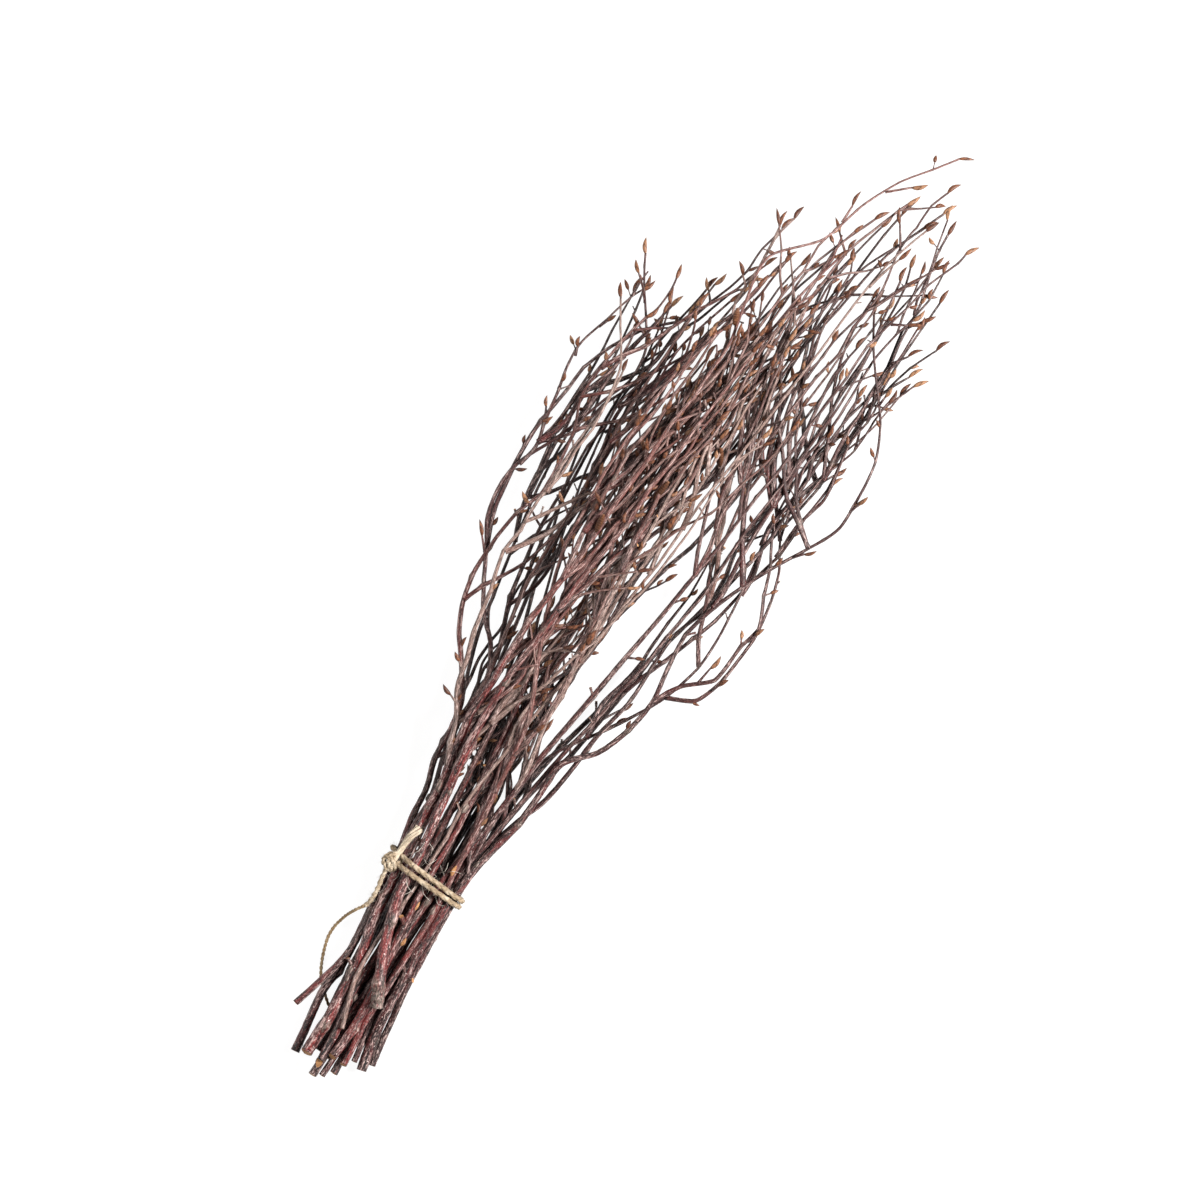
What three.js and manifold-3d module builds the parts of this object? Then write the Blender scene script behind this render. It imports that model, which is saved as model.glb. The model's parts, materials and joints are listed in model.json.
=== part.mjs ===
import * as THREE from "three";
import { mergeVertices } from "three/addons/utils/BufferGeometryUtils.js";
import Module from "manifold-3d";

const wasm = await Module();
wasm.setup();

// All sizes in millimetres. The bundle lies on z = 0 with its butts at low x and its tips at high x.
const gap = 0.3; // left between twigs that lie on each other
const budRadius = 1.35;
const budLength = 7.5;
const twigletRadius = 0.75;
const twineRadius = 1.4;
const tailRadius = 0.85;
const turnAt = [88.3, 91.9]; // where the two turns of twine cross the bundle
const taper = 1.6; // how early a twig gets thin: 1 is an even taper
const tieMiddle = [14.5, 12.3]; // y and z of the middle of the twigs at the tie
const tieHalf = [16.9, 8.6]; // half the width and height of the twigs there
const settleRounds = 700;
const seed = 20417;

// The oval that the bundle fills, at some places along it: [x, lowest, highest, middle y, half width]
const oval = [
  [-15, 0, 15, 5, 22],
  [60, 1, 18, 12, 22],
  [90, 3.4, 20.5, 15, 21],
  [120, 2.5, 23, 17, 25],
  [150, 1, 32, 18, 34],
  [200, 0, 48, 26, 52],
  [250, 0, 60, 27, 66],
  [300, 0, 66, 25, 69],
  [350, 0, 62, 27, 67],
  [400, 0, 52, 18, 64],
  [450, 0, 38, 5, 46],
  [500, 0, 26, -2, 34],
];

// Each twig: r = radius at the butt and below the last bud, step = distance between rings, bud = its radius,
// up = how high it runs in the oval (0 lowest, 1 highest) at the butt, the tie and the head,
// way = hand-picked [x, y] or [x, y, z] points from the butt to the tip.
const twigs = {
  twig_01: { r: [2.15, 0.6], step: 15, up: [0.4, 0.5, 0.5], way: [
    [-8, 18, 6], [5, 20.5, 6.5], [15, 22, 6.5], [25, 23.5, 7], [35, 22.5, 8], [50, 25], [62, 28],
    [75, 30.5], [90, 33], [100, 36], [112, 38.3], [125, 40.5], [143, 46.5], [152, 46], [165, 45.5],
    [178, 45.5], [187, 47], [195, 54], [200, 60], [207, 65], [215, 70], [226, 75], [232, 82],
    [242, 86.5], [258, 88.5], [270, 86.5], [284, 81], [300, 75.5], [315, 71], [330, 67], [345, 71.5],
    [355, 79], [366, 87], [384, 98.5]] },
  twig_02: { r: [1.65, 0.6], step: 24, up: [0.9, 0.75, 0.8], way: [
    [10, 28.5, 11], [20, 26, 11.5], [30, 23.7, 12.5], [42, 22.5, 13], [60, 23], [75, 26.5], [90, 30],
    [110, 30.5], [128, 31], [150, 35], [175, 41], [200, 47], [230, 52], [265, 55], [300, 58], [330, 60],
    [355, 60.5], [379, 60]] },
  twig_03: { r: [2.9, 0.5], bud: 0.8, step: 25, up: [0.85, 0.85, 1], way: [
    [-4, 13], [10, 13], [20, 14], [35, 17.5], [47, 19], [60, 24], [75, 27.3], [90, 29.8], [105, 33.5],
    [120, 34.5], [135, 38], [150, 41], [180, 44], [220, 44], [260, 42], [300, 42], [340, 41], [362, 41],
    [385, 45.5], [403, 50], [414, 42], [426, 33.5], [439, 31], [452, 27], [464, 23.5], [476, 14],
    [488, 9], [496, -2]] },
  twig_04: { r: [2.7, 0.65], step: 25, up: [1.1, 1, 0.95], way: [
    [31, 2.5, 17.5], [40, 9], [50, 12.5], [60, 17], [70, 20.5], [88, 25.5], [105, 27], [125, 31],
    [150, 36], [180, 38], [210, 37], [240, 36], [280, 33], [320, 32], [360, 30], [395, 28], [415, 25],
    [431, 21]] },
  twig_05: { r: [2.1, 0.6], step: 33, up: [0.9, 0.7, 0.7], way: [
    [0, 4.5], [20, 4.8], [40, 6], [60, 10], [75, 12], [90, 13.5], [110, 16.5], [128, 18], [150, 20.5],
    [170, 24], [195, 30], [225, 36], [255, 42], [285, 49], [312, 54], [340, 58], [365, 55],
    [388, 49]] },
  twig_06: { r: [1.8, 0.6], step: 20, up: [0.8, 0.85, 0.95], way: [
    [-0.5, -3.5], [10, -2], [20, 0], [30, -0.3], [60, 1], [90, 3.5], [110, 7], [130, 9], [150, 12.5],
    [168, 15], [185, 21], [205, 31.5], [225, 40.5], [245, 47], [270, 51], [300, 53], [330, 53],
    [355, 49], [375, 46], [400, 43.5]] },
  twig_07: { r: [2.4, 0.6], step: 17, up: [0.45, 0.75, 0.5], way: [
    [1.5, -11.3, 5], [15, -8, 6], [26, -5.8], [40, -4], [54, -2.6], [66, -2], [78, -1.2], [90, -0.2],
    [105, -1.5], [125, -4], [147, -6], [166, -5], [176, -12.5], [187, -19], [203, -22.3], [220, -23],
    [238, -18.8], [262, -20.8], [285, -29], [302, -37], [318, -44], [330, -48], [352, -45], [368, -41],
    [384, -28], [398, -16.5], [412, -7.5], [420, 0]] },
  twig_08: { r: [1.65, 0.6], step: 19, up: [0.3, 0.4, 0.4], way: [
    [5.5, -16.2, 3], [20, -13.5, 4], [30, -12, 6], [40, -9.5], [50, -8.5], [66, -6.7], [85, -4.5],
    [100, -3.2], [120, -3.7], [140, -7.5], [155, -11.4], [170, -12.7], [190, -13.5], [210, -15.8],
    [225, -15.7], [240, -14], [257, -19.3], [280, -22.5], [300, -25], [330, -24.5], [350, -22.5],
    [366, -22], [383, -26.5], [405, -23.5], [425, -20.5], [440, -17.5], [453, -13.5], [471, -12]] },
  twig_09: { r: [1.35, 0.55], step: 20, up: [0.4, 0.3, 0.3], way: [
    [3, -6.2], [20, -2.5], [40, -1], [65, -1], [90, -1], [120, 1], [140, 2.6], [160, 1.5], [175, -3.5],
    [186, -11], [198, -17.5], [211, -24.5], [223, -29], [245, -32.5], [262, -31.5], [280, -28.5],
    [298, -24.5], [315, -22], [335, -19.5], [352, -20.5], [368, -27], [382, -34], [392, -35.5],
    [404, -43]] },
  twig_10: { r: [2.15, 0.6], step: 33, up: [0.6, 0.6, 0.75], way: [
    [-12.5, 7], [10, 7.5], [30, 8.5], [60, 7.5], [90, 8], [120, 6], [150, 4], [180, 2], [200, 0],
    [230, -3], [255, -5], [285, -7.5], [315, -9], [350, -11], [380, -11], [402, -11.8], [430, -16.5],
    [447, -18], [466, -27]] },
  twig_11: { r: [2, 0.6], step: 33, up: [0.95, 0.75, 0.85], way: [
    [-5.5, 7.5, 14.5], [10, 9.5], [30, 13], [60, 15.5], [90, 19.5], [120, 23.5], [150, 28], [180, 32],
    [220, 35], [260, 37], [300, 36.5], [340, 34], [380, 31], [410, 30.5], [435, 26], [455, 15.5]] },
  twig_12: { r: [1.55, 0.6], step: 33, up: [0.4, 0.5, 0.65], way: [
    [-10.5, 2.5], [20, 3.5], [60, 5.5], [90, 6], [120, 10], [150, 15], [180, 20], [220, 26], [260, 29],
    [300, 28], [340, 24.5], [380, 18], [410, 13], [440, 7.5], [465, -5]] },
  twig_13: { r: [1.55, 0.6], step: 33, up: [0.25, 0.35, 0.55], way: [
    [-6.5, -0.5], [30, 1.5], [60, 3], [90, 3], [120, 1], [150, -1.5], [175, -4.5], [206, -8.3],
    [228, -10.5], [250, -13], [285, -13], [320, -14], [355, -15.5], [385, -15], [410, -10],
    [441, -5]] },
  twig_14: { r: [1.3, 0.55], step: 33, up: [0.2, 0.2, 0.5], way: [
    [-7, -3.5], [20, -1], [50, 2], [90, 9], [120, 14], [150, 22], [180, 30], [215, 40], [255, 53],
    [290, 62], [325, 66], [350, 62], [372, 63], [391, 59.5]] },
  twig_15: { r: [1.1, 0.55], step: 25, up: [1.2, 1, 0.8], way: [
    [13, 7.5, 18], [22, 10.5, 18.5], [32, 14.5, 19], [48, 17.5], [70, 17.5], [90, 17], [115, 19],
    [145, 20], [180, 17], [220, 13.5], [260, 11.5], [300, 10], [340, 8], [380, 6], [420, 4], [445, 1.5],
    [465, -5.5]] },
  twig_16: { r: [1.9, 0.6], step: 33, up: [0.05, 0.1, 0.02], way: [
    [0, 1], [30, 4], [60, 7], [90, 6], [120, 4], [160, 0], [200, -7], [240, -15], [280, -22],
    [320, -29], [360, -31], [400, -28.5, 4], [420, -28.5, 5], [444, -28, 7]] },
  twig_17: { r: [2, 0.6], step: 33, up: [0.05, 0.1, -0.1], way: [
    [2, 7], [40, 10], [90, 15], [130, 21], [170, 32], [210, 45], [250, 58], [290, 70, 4], [325, 78, 3],
    [350, 84, 3], [372, 88, 6]] },
  twig_18: { r: [2, 0.6], step: 33, up: [0.1, 0.1, 0.1], way: [
    [-3, 5], [40, 9], [90, 19.5], [130, 24], [180, 29], [230, 33], [280, 36], [330, 38], [380, 36],
    [405, 30], [428, 24]] },
  twig_19: { r: [1.9, 0.6], step: 33, up: [0.1, 0.1, 0.2], way: [
    [7, 11], [40, 13], [90, 24], [130, 30], [170, 38], [210, 47], [250, 54], [290, 57], [330, 55],
    [365, 50], [400, 47]] },
  twig_20: { r: [1.8, 0.6], step: 33, up: [0.1, 0.15, 0.3], way: [
    [4, 2], [40, 5], [90, 10.5], [130, 12], [180, 12], [230, 12], [280, 14], [330, 13], [380, 12],
    [420, 11.5], [450, 11.5], [467, 8]] },
  twig_21: { r: [2, 0.6], step: 33, up: [0.3, 0.5, 0.45], way: [
    [-2, 10], [40, 12.5], [90, 16], [130, 18], [180, 23], [230, 24], [280, 21], [330, 17], [380, 12],
    [430, 7], [455, 1], [477, -8]] },
  twig_22: { r: [1.7, 0.6], step: 33, up: [0.2, 0.3, 0.2], way: [
    [8, -2], [40, -1], [90, 2], [130, -1], [180, -9], [230, -13], [280, -15], [330, -16], [370, -15],
    [402, -14], [430, -14], [455, -17]] },
  twig_23: { r: [2, 0.6], step: 33, up: [0.2, 0.3, 0.35], way: [
    [0, 8], [20, 10.5], [40, 16], [90, 28], [130, 33], [170, 41], [210, 51], [250, 60], [290, 65],
    [330, 68], [360, 66], [388, 62]] },
  twig_24: { r: [1.8, 0.6], step: 33, up: [0.3, 0.5, 0.2], way: [
    [5, 9, 5], [40, 17.5], [90, 24], [130, 36], [160, 46], [190, 57], [230, 67], [270, 75], [310, 78],
    [345, 76], [372, 70]] },
};

// Each fork: of = what it grows from, r and step as above, up = height in the oval, way as above.
const forks = {
  twig_01_fork_a: { of: "twig_01", r: [1.45, 0.6], step: 15, up: 0.62, way: [
    [146, 47.5], [163, 51.5], [178, 61], [192, 69.5], [210, 74.5], [226, 76.5], [245, 75], [268, 71.5],
    [290, 75], [308, 81.5], [325, 81], [345, 80], [360, 75.5]] },
  twig_01_fork_b: { of: "twig_01", r: [1.3, 0.55], step: 18, up: 0.45, way: [
    [226, 75], [238, 80.5], [252, 84.5], [273, 87.5], [288, 88.5], [305, 87.5], [328, 85.5], [345, 77],
    [358, 67], [370, 58.5], [390, 55], [406, 53], [428, 49.5]] },
  twig_01_fork_c: { of: "twig_01_fork_b", r: [0.95, 0.5], step: 16, up: 0.6, way: [
    [264, 85], [280, 83], [292, 86.5], [305, 90], [322, 94], [337, 93], [352, 90], [370, 84]] },
  twig_03_fork_a: { of: "twig_03", r: [1.35, 0.55], step: 16, up: 0.85, way: [
    [140, 38.5], [152, 43.5], [166, 53], [182, 58], [200, 63.5], [222, 69], [240, 70.5], [262, 70],
    [290, 69.5], [318, 71.5], [334, 78], [345, 86], [360, 96.5]] },
  twig_03_fork_b: { of: "twig_03", r: [1.3, 0.55], step: 24, up: 0.9, way: [
    [228, 44], [250, 47], [275, 49], [305, 48.5], [335, 47.5], [365, 48], [385, 44.5], [402, 43]] },
  twig_03_fork_c: { of: "twig_03", r: [1.1, 0.55], step: 25, up: 0.85, way: [
    [345, 41], [362, 37], [385, 34.5], [410, 33], [432, 33], [449, 29.5]] },
  twig_02_fork_a: { of: "twig_02", r: [0.95, 0.5], step: 18, up: 0.97, way: [
    [128, 31], [145, 31.5], [165, 28], [188, 21], [210, 15.5], [240, 10], [275, 6.5], [310, 7],
    [345, 3]] },
  twig_04_fork_a: { of: "twig_04", r: [1.4, 0.6], step: 24, up: 0.7, way: [
    [215, 37], [235, 33], [258, 27], [285, 25], [315, 23.5], [350, 22], [385, 21.5], [415, 22.5],
    [440, 18], [466, 9]] },
  twig_05_fork_a: { of: "twig_05", r: [1.2, 0.55], step: 24, up: 0.95, way: [
    [210, 33], [230, 33], [258, 31], [290, 26], [320, 24], [350, 27], [378, 31]] },
  twig_06_fork_a: { of: "twig_06", r: [1.1, 0.55], step: 25, up: 0.9, way: [
    [150, 12.5], [165, 11], [185, 12], [205, 15], [218, 17], [245, 20], [262, 17], [280, 9], [300, 2],
    [325, -3], [350, -4]] },
  twig_07_fork_a: { of: "twig_07", r: [1.3, 0.55], step: 25, up: 0.45, way: [
    [262, -20.8], [285, -19], [310, -17.5], [340, -17], [370, -19], [400, -17], [428, -23]] },
  twig_07_fork_b: { of: "twig_07", r: [1.1, 0.55], step: 16, up: 0.35, way: [
    [206, -22.4], [218, -27], [230, -36], [246, -39], [264, -40.5], [285, -33.5], [305, -25],
    [330, -28], [358, -33], [390, -33]] },
  twig_08_fork_a: { of: "twig_08", r: [1.3, 0.6], step: 16, up: 0.8, way: [
    [259, -19.8], [270, -17.5], [280, -11], [290, -4.5], [300, 1], [310, 6.5], [320, 14.5], [335, 27],
    [346, 35], [360, 40], [385, 48], [412, 49.5], [436, 48]] },
  twig_08_fork_b: { of: "twig_08", r: [1, 0.55], step: 25, up: 0.55, way: [
    [330, -24.5], [350, -18], [375, -14], [400, -14], [425, -9.5], [443, -6]] },
  twig_09_fork_a: { of: "twig_09", r: [1, 0.5], step: 15, up: 0.2, way: [
    [213, -25.2], [223, -37], [236, -41], [255, -42], [275, -41.5], [293, -36], [308, -28], [335, -27],
    [365, -33], [397, -37]] },
  twig_09_fork_b: { of: "twig_09", r: [1, 0.5], step: 18, up: 0.6, way: [
    [248, -32.4], [258, -26], [272, -15], [292, -8], [320, -4], [350, -4.5], [380, -3], [410, -4],
    [430, -3]] },
  twig_10_fork_a: { of: "twig_10", r: [1.3, 0.6], step: 24, up: 0.85, way: [
    [158, 3.4], [172, 6], [192, 10], [218, 14], [245, 17], [270, 16], [300, 14], [335, 16], [365, 18],
    [395, 20]] },
  twig_10_fork_b: { of: "twig_10", r: [1.2, 0.55], step: 24, up: 0.7, way: [
    [260, -5.4], [285, -2], [315, 0], [350, 0], [385, -2], [415, -1.5], [445, 2], [462, 1],
    [479, -4]] },
  twig_11_fork_a: { of: "twig_11", r: [1.3, 0.55], step: 24, up: 0.75, way: [
    [225, 35.4], [250, 41], [275, 45.5], [305, 45], [335, 45], [364, 45]] },
  twig_12_fork_a: { of: "twig_12", r: [1.2, 0.55], step: 24, up: 0.55, way: [
    [240, 28], [262, 23], [290, 17], [320, 11], [350, 6.5], [385, 3], [412, -1], [428, -7],
    [441, -13]] },
  twig_14_fork_a: { of: "twig_14", r: [1, 0.5], step: 25, up: 0.55, way: [
    [262, 55], [285, 58], [315, 61], [345, 65], [365, 70], [380, 77]] },
  twig_16_fork_a: { of: "twig_16", r: [1.2, 0.55], step: 24, up: 0.1, way: [
    [262, -19], [290, -16, 3], [325, -19, 3], [360, -24, 5], [395, -31, 8], [420, -39.5, 10]] },
  twig_17_fork_a: { of: "twig_17", r: [1.2, 0.55], step: 24, up: 0.15, way: [
    [240, 55], [265, 58, 4], [300, 60, 3], [335, 66, 5], [365, 73, 8]] },
  twig_18_fork_a: { of: "twig_18", r: [1.3, 0.55], step: 25, up: 0.1, way: [
    [200, 30.6], [230, 26, 4], [270, 23, 3], [310, 20, 3], [350, 16, 4], [390, 13, 5], [425, 15, 8]] },
  twig_19_fork_a: { of: "twig_19", r: [1.2, 0.55], step: 25, up: 0.4, way: [
    [225, 50], [250, 49], [285, 48], [320, 42], [355, 38], [390, 36], [418, 34]] },
  twig_20_fork_a: { of: "twig_20", r: [1.2, 0.55], step: 25, up: 0.25, way: [
    [220, 12], [250, 7], [285, 1], [320, -3], [355, -6], [390, -7], [420, -8]] },
  twig_21_fork_a: { of: "twig_21", r: [1.2, 0.55], step: 25, up: 0.35, way: [
    [270, 21.7], [300, 25], [335, 28], [370, 27], [405, 22], [435, 17], [458, 13]] },
  twig_22_fork_a: { of: "twig_22", r: [1.1, 0.55], step: 24, up: 0.3, way: [
    [205, -11.4], [232, -19], [262, -26.5], [295, -31], [330, -33], [362, -29], [395, -26]] },
  twig_23_fork_a: { of: "twig_23", r: [1.2, 0.55], step: 24, up: 0.6, way: [
    [190, 46], [215, 56], [245, 63], [275, 65], [305, 66], [335, 64], [352, 61.5], [373, 63]] },
  twig_24_fork_a: { of: "twig_24", r: [1.2, 0.55], step: 24, up: 0.25, way: [
    [245, 70], [270, 79], [295, 84], [325, 87], [350, 88], [378, 92]] },
};

// Seeded random numbers, so that each build is the same.
let state = seed;
const random = () => {
  state = (state + 0x6d2b79f5) | 0;
  let t = Math.imul(state ^ (state >>> 15), 1 | state);
  t = (t + Math.imul(t ^ (t >>> 7), 61 | t)) ^ t;
  return ((t ^ (t >>> 14)) >>> 0) / 4294967296;
};
const between = (a, b) => a + (b - a) * random();
const mix = (a, b, f) => a + (b - a) * f;

function ovalAt(x) {
  let i = 0;
  while (i < oval.length - 2 && x > oval[i + 1][0]) i++;
  const [a, b] = [oval[i], oval[i + 1]];
  const f = THREE.MathUtils.clamp((x - a[0]) / (b[0] - a[0]), 0, 1);
  return [1, 2, 3, 4].map((k) => mix(a[k], b[k], f));
}

function heightAt(x, y, up) {
  const [low, high, middle, half] = ovalAt(x);
  const edge = Math.sqrt(Math.max(0.05, 1 - ((y - middle) / half) ** 2));
  return (low + high) / 2 + (up - 0.5) * (high - low) * edge;
}

function upAt(up, x) {
  if (!Array.isArray(up)) return up;
  if (x < 90) return mix(up[0], up[1], THREE.MathUtils.clamp((x + 10) / 80, 0, 1));
  return mix(up[1], up[2], THREE.MathUtils.clamp((x - 90) / 110, 0, 1));
}

// A chain is the middle line of a twig as points, with a radius at each and the length of each link.
function chainOf(name, twig) {
  const way = twig.way.map(([x, y, z]) => new THREE.Vector3(x, y, z ?? heightAt(x, y, upAt(twig.up, x))));
  const curve = new THREE.CatmullRomCurve3(way, false, "centripetal");
  curve.arcLengthDivisions = 2000;
  const links = Math.max(3, Math.round((curve.getLength() - budLength) / twig.step));
  const step = (curve.getLength() - budLength) / links;
  const points = [];
  const radii = [];
  const rest = [];
  for (let i = 0; i <= links; i++) {
    points.push(curve.getPointAt((i * step) / curve.getLength()));
    const f = i / links;
    radii.push(mix(twig.r[1], twig.r[0], (1 - f) ** taper) * between(0.94, 1.06));
    if (i) rest.push(step);
  }
  points.push(curve.getPointAt(1 - (budLength - 3) / curve.getLength()), curve.getPointAt(1));
  radii.push(twig.bud ?? budRadius, 0.25);
  rest.push(3, budLength - 3);
  return { name, points, radii, rest, step, goal: points.map((p) => p.clone()), twiglets: [] };
}

const chains = {};
for (const [name, twig] of Object.entries(twigs)) chains[name] = chainOf(name, twig);
for (const [name, fork] of Object.entries(forks)) {
  const chain = chainOf(name, fork);
  const parent = chains[fork.of];
  const near = parent.goal.map((p) => Math.hypot(p.x - chain.goal[0].x, p.y - chain.goal[0].y));
  chain.parent = parent;
  chain.at = near.indexOf(Math.min(...near));
  const shift = parent.goal[chain.at].clone().sub(chain.goal[0]);
  for (let i = 0; i < chain.goal.length; i++) {
    const fade = Math.max(0, 1 - i / 5);
    chain.goal[i].addScaledVector(shift, fade);
    chain.points[i].copy(chain.goal[i]);
  }
  chain.radii[0] = Math.min(chain.radii[0], parent.radii[chain.at] * 0.85);
  chains[name] = chain;
}
const all = Object.values(chains);

// Nearest points of two links: how far along each, and the distance.
function nearest(a, b, c, d) {
  const u = b.clone().sub(a);
  const v = d.clone().sub(c);
  const w = a.clone().sub(c);
  const [uu, uv, vv, uw, vw] = [u.dot(u), u.dot(v), v.dot(v), u.dot(w), v.dot(w)];
  const det = uu * vv - uv * uv;
  const clamp = THREE.MathUtils.clamp;
  let s = det > 1e-9 ? clamp((uv * vw - vv * uw) / det, 0, 1) : 0.5;
  const t = clamp((uv * s + vw) / Math.max(vv, 1e-9), 0, 1);
  s = clamp((uv * t - uw) / Math.max(uu, 1e-9), 0, 1);
  const apart = w.addScaledVector(u, s).addScaledVector(v, -t);
  return { s, t, apart, far: apart.length() };
}

const touching = (one, i, other, j) => {
  if (one === other) return Math.abs(i - j) < 3;
  if (one.parent === other) return i === 0 && Math.abs(j + 0.5 - one.at) < 3;
  if (other.parent === one) return j === 0 && Math.abs(i + 0.5 - other.at) < 3;
  if (one.parent && one.parent === other.parent) return i === 0 && j === 0 && one.at === other.at;
  return false;
};

function pairsNear(margin) {
  const links = [];
  for (const chain of all)
    for (let i = 0; i < chain.rest.length; i++) {
      const [a, b] = [chain.points[i], chain.points[i + 1]];
      links.push({ chain, i, mid: a.clone().add(b).multiplyScalar(0.5), half: a.distanceTo(b) / 2 });
    }
  const pairs = [];
  for (let m = 0; m < links.length; m++)
    for (let n = m + 1; n < links.length; n++) {
      const [p, q] = [links[m], links[n]];
      const reach = p.half + q.half + 6 + margin;
      if (Math.abs(p.mid.x - q.mid.x) > reach || Math.abs(p.mid.y - q.mid.y) > reach) continue;
      if (p.mid.distanceTo(q.mid) > reach || touching(p.chain, p.i, q.chain, q.i)) continue;
      pairs.push([p.chain, p.i, q.chain, q.i]);
    }
  return pairs;
}

// Settle: twigs push each other apart, and stay smooth and near where the plan has them.
function settle(rounds) {
  let pairs = [];
  for (let round = 0; round < rounds; round++) {
    if (round % 12 === 0) pairs = pairsNear(3);
    const last = round > rounds - 120;
    for (const chain of all) {
      const away = chain.points.map((p, i) => p.clone().sub(chain.goal[i]));
      for (let i = chain.parent ? 1 : 0; i < away.length; i++) {
        const before = away[Math.max(0, i - 1)];
        const after = away[Math.min(away.length - 1, i + 1)];
        const even = before.clone().add(after).multiplyScalar(0.5);
        chain.points[i].addScaledVector(even.sub(away[i]), last ? 0.06 : 0.3);
        if (!last) chain.points[i].addScaledVector(away[i], chain.points[i].x < 140 ? -0.012 : -0.004);
      }
      for (let i = 0; i < chain.rest.length; i++) {
        const link = chain.points[i + 1].clone().sub(chain.points[i]);
        const off = (link.length() - chain.rest[i]) / link.length();
        chain.points[i].addScaledVector(link, off * 0.2);
        chain.points[i + 1].addScaledVector(link, -off * 0.2);
      }
    }
    for (const [one, i, other, j] of pairs) {
      const [a, b, c, d] = [one.points[i], one.points[i + 1], other.points[j], other.points[j + 1]];
      const { s, t, apart, far } = nearest(a, b, c, d);
      const thick = mix(one.radii[i], one.radii[i + 1], s) + mix(other.radii[j], other.radii[j + 1], t);
      const need = thick + gap + 0.08;
      if (far >= need) continue;
      if (far < 1e-6) apart.set(0, 0, 1);
      apart.normalize();
      const weight = (1 - s) ** 2 + s ** 2 + (1 - t) ** 2 + t ** 2;
      const push = ((need - far) / weight) * (last ? 1 : 0.7);
      a.addScaledVector(apart, push * (1 - s));
      b.addScaledVector(apart, push * s);
      c.addScaledVector(apart, -push * (1 - t));
      d.addScaledVector(apart, -push * t);
    }
    for (const chain of all) {
      if (chain.parent) chain.points[0].copy(chain.parent.points[chain.at]);
      chain.points.forEach((p, i) => {
        const tied = Math.max(0, 1 - Math.abs(p.x - 90) / 40);
        const floor = chain.radii[i] + tied * (2 * twineRadius + 0.7);
        if (tied > 0) {
          const wide = tieHalf[0] + 5 * (1 - tied) - chain.radii[i];
          const high = tieHalf[1] + 5 * (1 - tied) - chain.radii[i];
          const out = Math.hypot((p.y - tieMiddle[0]) / wide, (p.z - tieMiddle[1]) / high);
          if (out > 1 && !last) {
            const pull = 0.5 * tied * (1 - 1 / out);
            p.y -= pull * (p.y - tieMiddle[0]);
            p.z -= pull * (p.z - tieMiddle[1]);
          }
        }
        if (p.z < floor) p.z = floor;
      });
    }
  }
}
settle(settleRounds);

// A closed solid from a three.js geometry.
function solid(geometry) {
  const bare = geometry.clone();
  for (const extra of ["normal", "uv"]) bare.deleteAttribute(extra);
  const merged = mergeVertices(bare, 1e-3);
  const made = new wasm.Manifold(new wasm.Mesh({
    numProp: 3,
    vertProperties: merged.attributes.position.array,
    triVerts: new Uint32Array(merged.index.array),
  }));
  return made;
}
const biggest = (made) => made.decompose().sort((a, b) => b.volume() - a.volume())[0];

// Directions across each point of a line of points, turned as little as possible from one to the next.
function framesOf(points, start) {
  const frames = [];
  let across = start.clone();
  for (let i = 0; i < points.length; i++) {
    const back = points[Math.max(0, i - 1)];
    const front = points[Math.min(points.length - 1, i + 1)];
    const along = front.clone().sub(back).normalize();
    across.addScaledVector(along, -across.dot(along)).normalize();
    frames.push({ along, across: across.clone(), side: across.clone().cross(along) });
    across = across.clone();
  }
  return frames;
}

// A lathe-turned rod bent so that its rings lie at the points of a line.
function bentRod(points, radii, frames, sides) {
  const profile = [new THREE.Vector2(0, 0)];
  radii.forEach((r, i) => profile.push(new THREE.Vector2(i === radii.length - 1 && r < 0.3 ? 0 : r, i)));
  if (radii[radii.length - 1] >= 0.3) profile.push(new THREE.Vector2(0, radii.length - 1));
  const rod = new THREE.LatheGeometry(profile, sides);
  const spots = rod.attributes.position;
  for (let k = 0; k < spots.count; k++) {
    const ring = Math.round(spots.getY(k));
    const spot = points[ring].clone();
    spot.addScaledVector(frames[ring].across, spots.getX(k));
    spot.addScaledVector(frames[ring].side, spots.getZ(k));
    spots.setXYZ(k, spot.x, spot.y, spot.z);
  }
  return rod;
}

for (const chain of all) {
  const turn = between(0, Math.PI);
  chain.frames = framesOf(chain.points, new THREE.Vector3(0, Math.cos(turn), Math.sin(turn)));
  chain.sides = chain.radii[1] > 1.6 ? 5 : 4;
}

// Twiglets: short side shoots with a bud, grown from the middle of a link where there is room.
const twiglets = [];
function clearOf(points, radii, chain, link) {
  for (let k = 0; k < points.length - 1; k++) {
    const [a, b] = [points[k], points[k + 1]];
    if (k && a.z < radii[k]) return false;
    for (const other of all)
      for (let j = 0; j < other.rest.length; j++) {
        const [c, d] = [other.points[j], other.points[j + 1]];
        if (Math.abs(c.x - a.x) > 60 || Math.abs(c.y - a.y) > 60) continue;
        if (other === chain && Math.abs(j - link) < 2) continue;
        const { s, t, far } = nearest(a, b, c, d);
        const need = mix(radii[k], radii[k + 1], s) + mix(other.radii[j], other.radii[j + 1], t) + gap + 0.15;
        if (far < need) return false;
      }
    for (const other of twiglets)
      for (let j = 0; j < other.points.length - 1; j++) {
        const { s, t, far } = nearest(a, b, other.points[j], other.points[j + 1]);
        const need = mix(radii[k], radii[k + 1], s) + mix(other.radii[j], other.radii[j + 1], t) + gap + 0.15;
        if (far < need) return false;
      }
  }
  return points[points.length - 1].z > 0.6;
}

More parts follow.
